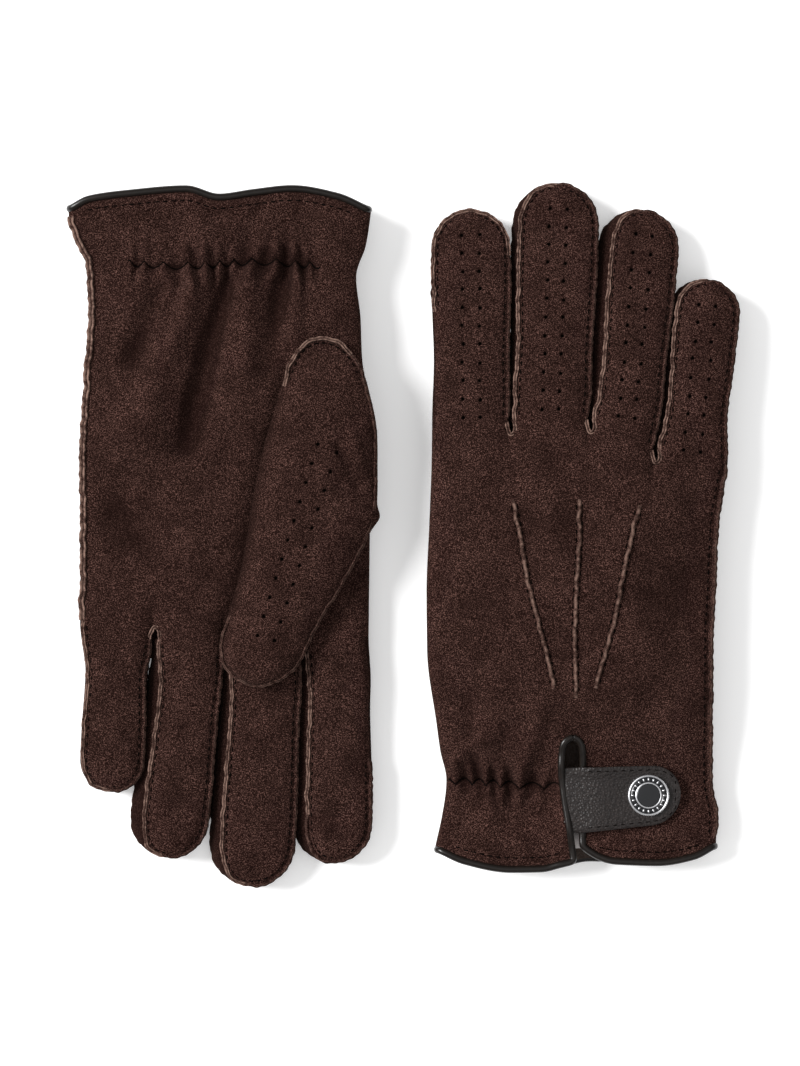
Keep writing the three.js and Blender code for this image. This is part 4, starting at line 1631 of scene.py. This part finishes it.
    def lining(self) -> None:
        """Adds the knitted lining inside the hand and the blank label sewn to it."""
        parts = []
        for face, panel in self.panels.items():
            inner = panel.points - np.array([0, 0, face * 1.3])
            inner[:, 0] *= 0.985
            parts.append(Surface(inner, panel.faces[:, ::-1]))
        for little in (False, True):
            wall = self.shape.side_wall(little)
            inner = wall.points * np.array([0.97, 1, 0.8])
            parts.append(Surface(inner, wall.faces[:, ::-1]))
        self.add("lining_knit", Surface.joined(parts), Look.LINING, "hand", ("lining",))
        self.add("label_blank", self.trim.label(), Look.LABEL, "hand", ("size_label",))

    def closure(self) -> None:
        """Adds the bound edges, the strap and the press stud."""
        trim = self.trim
        self.add("edge_binding", trim.binding(), Look.BINDING, "hand", ("cuff_piping", "slit_binding"))
        self.add("cuff_threads", trim.edge_stitches(), Look.THREAD, "hand")
        self.add("strap_leather", trim.strap(), Look.STRAP, "tab_flap", ("tab",))
        self.add("strap_threads", trim.strap_stitches(), Look.THREAD, "tab_flap")
        self.add("snap_rim", trim.turned(CAP_PROFILE), Look.STEEL, "tab_flap", ("snap_cap",))
        enamel = [trim.turned(ENAMEL_MIDDLE), trim.turned(ENAMEL_BAND)]
        self.add("snap_enamel", Surface.joined(enamel), Look.ENAMEL, "tab_flap")
        self.add("snap_ticks", trim.ticks(), Look.STEEL, "tab_flap")
        self.add("snap_socket_ring", trim.turned(SOCKET_PROFILE), Look.STEEL, "tab_flap", ("snap_socket",))
        self.add("snap_stud_post", trim.turned(STUD_PROFILE), Look.STEEL, "hand", ("snap_stud",))

    def build(self) -> None:
        """Adds every piece of the glove."""
        self.hand()
        for k in range(4):
            self.finger(k)
        self.thumb()
        self.lining()
        self.closure()


FLOOR_HALF, FLOOR_GLOW = 3.0, 0.22  # half the table's width in metres, and its own brightness
SKY, SKY_IN_GLOSS = 0.6, 0.22  # the even light, and how much of it shiny leather mirrors
# Each lamp's strength, apparent size in degrees, and the direction it stands in.
LAMPS = (("key", 4.3, 24, (-1.0, 0.3, 0.85)), ("top", 0.4, 60, (0.2, -0.1, 1.0)))


class Studio:
    """The white table, the light from the left and the camera overhead."""

    def floor(self) -> None:
        """Adds the table top, which isn't part of the object."""
        mesh = bpy.data.meshes.new("table_top")
        half = FLOOR_HALF
        corners = [(x * half, y * half, 0) for x, y in ((-1, -1), (1, -1), (1, 1), (-1, 1))]
        mesh.from_pydata(corners, [], [(0, 1, 2, 3)])
        material = bpy.data.materials.new("table_white")
        material.use_nodes = True
        surface = material.node_tree.nodes["Principled BSDF"]
        for key, value in (
            ("Base Color", (0.97, 0.97, 0.97, 1)), ("Roughness", 0.9), ("Specular IOR Level", 0.05),
            ("Emission Color", (1, 1, 1, 1)), ("Emission Strength", FLOOR_GLOW),
        ):
            surface.inputs[key].default_value = value
        mesh.materials.append(material)
        table = bpy.data.objects.new("table_top", mesh)
        bpy.context.scene.collection.objects.link(table)

    def light(self) -> None:
        """Adds a broad key light on the left and even light from all round."""
        scene = bpy.context.scene
        scene.view_settings.view_transform = "Standard"
        scene.view_settings.look = "None"
        world = scene.world or bpy.data.worlds.new("studio")
        scene.world = world
        world.use_nodes = True
        sky = world.node_tree.nodes["Background"]
        sky.inputs["Color"].default_value = (1, 1, 1, 1)
        ray = world.node_tree.nodes.new("ShaderNodeLightPath")
        strength = world.node_tree.nodes.new("ShaderNodeMapRange")
        strength.inputs["To Min"].default_value, strength.inputs["To Max"].default_value = SKY, SKY_IN_GLOSS
        world.node_tree.links.new(ray.outputs["Is Glossy Ray"], strength.inputs["Value"])
        world.node_tree.links.new(strength.outputs["Result"], sky.inputs["Strength"])
        for name, energy, angle, place in LAMPS:
            lamp = bpy.data.lights.new(name, "SUN")
            lamp.energy, lamp.angle = energy, math.radians(angle)
            made = bpy.data.objects.new(name, lamp)
            x, y, z = place
            made.rotation_euler = (0, math.acos(z / math.sqrt(x * x + y * y + z * z)), math.atan2(y, x))
            scene.collection.objects.link(made)

    def camera(self) -> None:
        """Adds the camera straight above the pair."""
        lens = bpy.data.cameras.new("overhead")
        lens.sensor_width, lens.lens = 36, 139.8
        made = bpy.data.objects.new("overhead", lens)
        made.location = (0.6 * MM, -1.1 * MM, 1.5)
        bpy.context.scene.collection.objects.link(made)
        bpy.context.scene.camera = made


def main() -> None:
    """Builds the pair on its table, piece by piece."""
    logging.basicConfig(level=logging.INFO, format="%(name)s: %(message)s")
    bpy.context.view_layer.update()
    studio = Studio()
    studio.floor()
    studio.light()
    studio.camera()
    looks = {look: build_material(look) for look in Look}
    for size in (RIGHT, LEFT):
        Glove(size, looks).build()
        LOG.info("%s glove done", size.side.label)


if __name__ == "__main__":
    main()
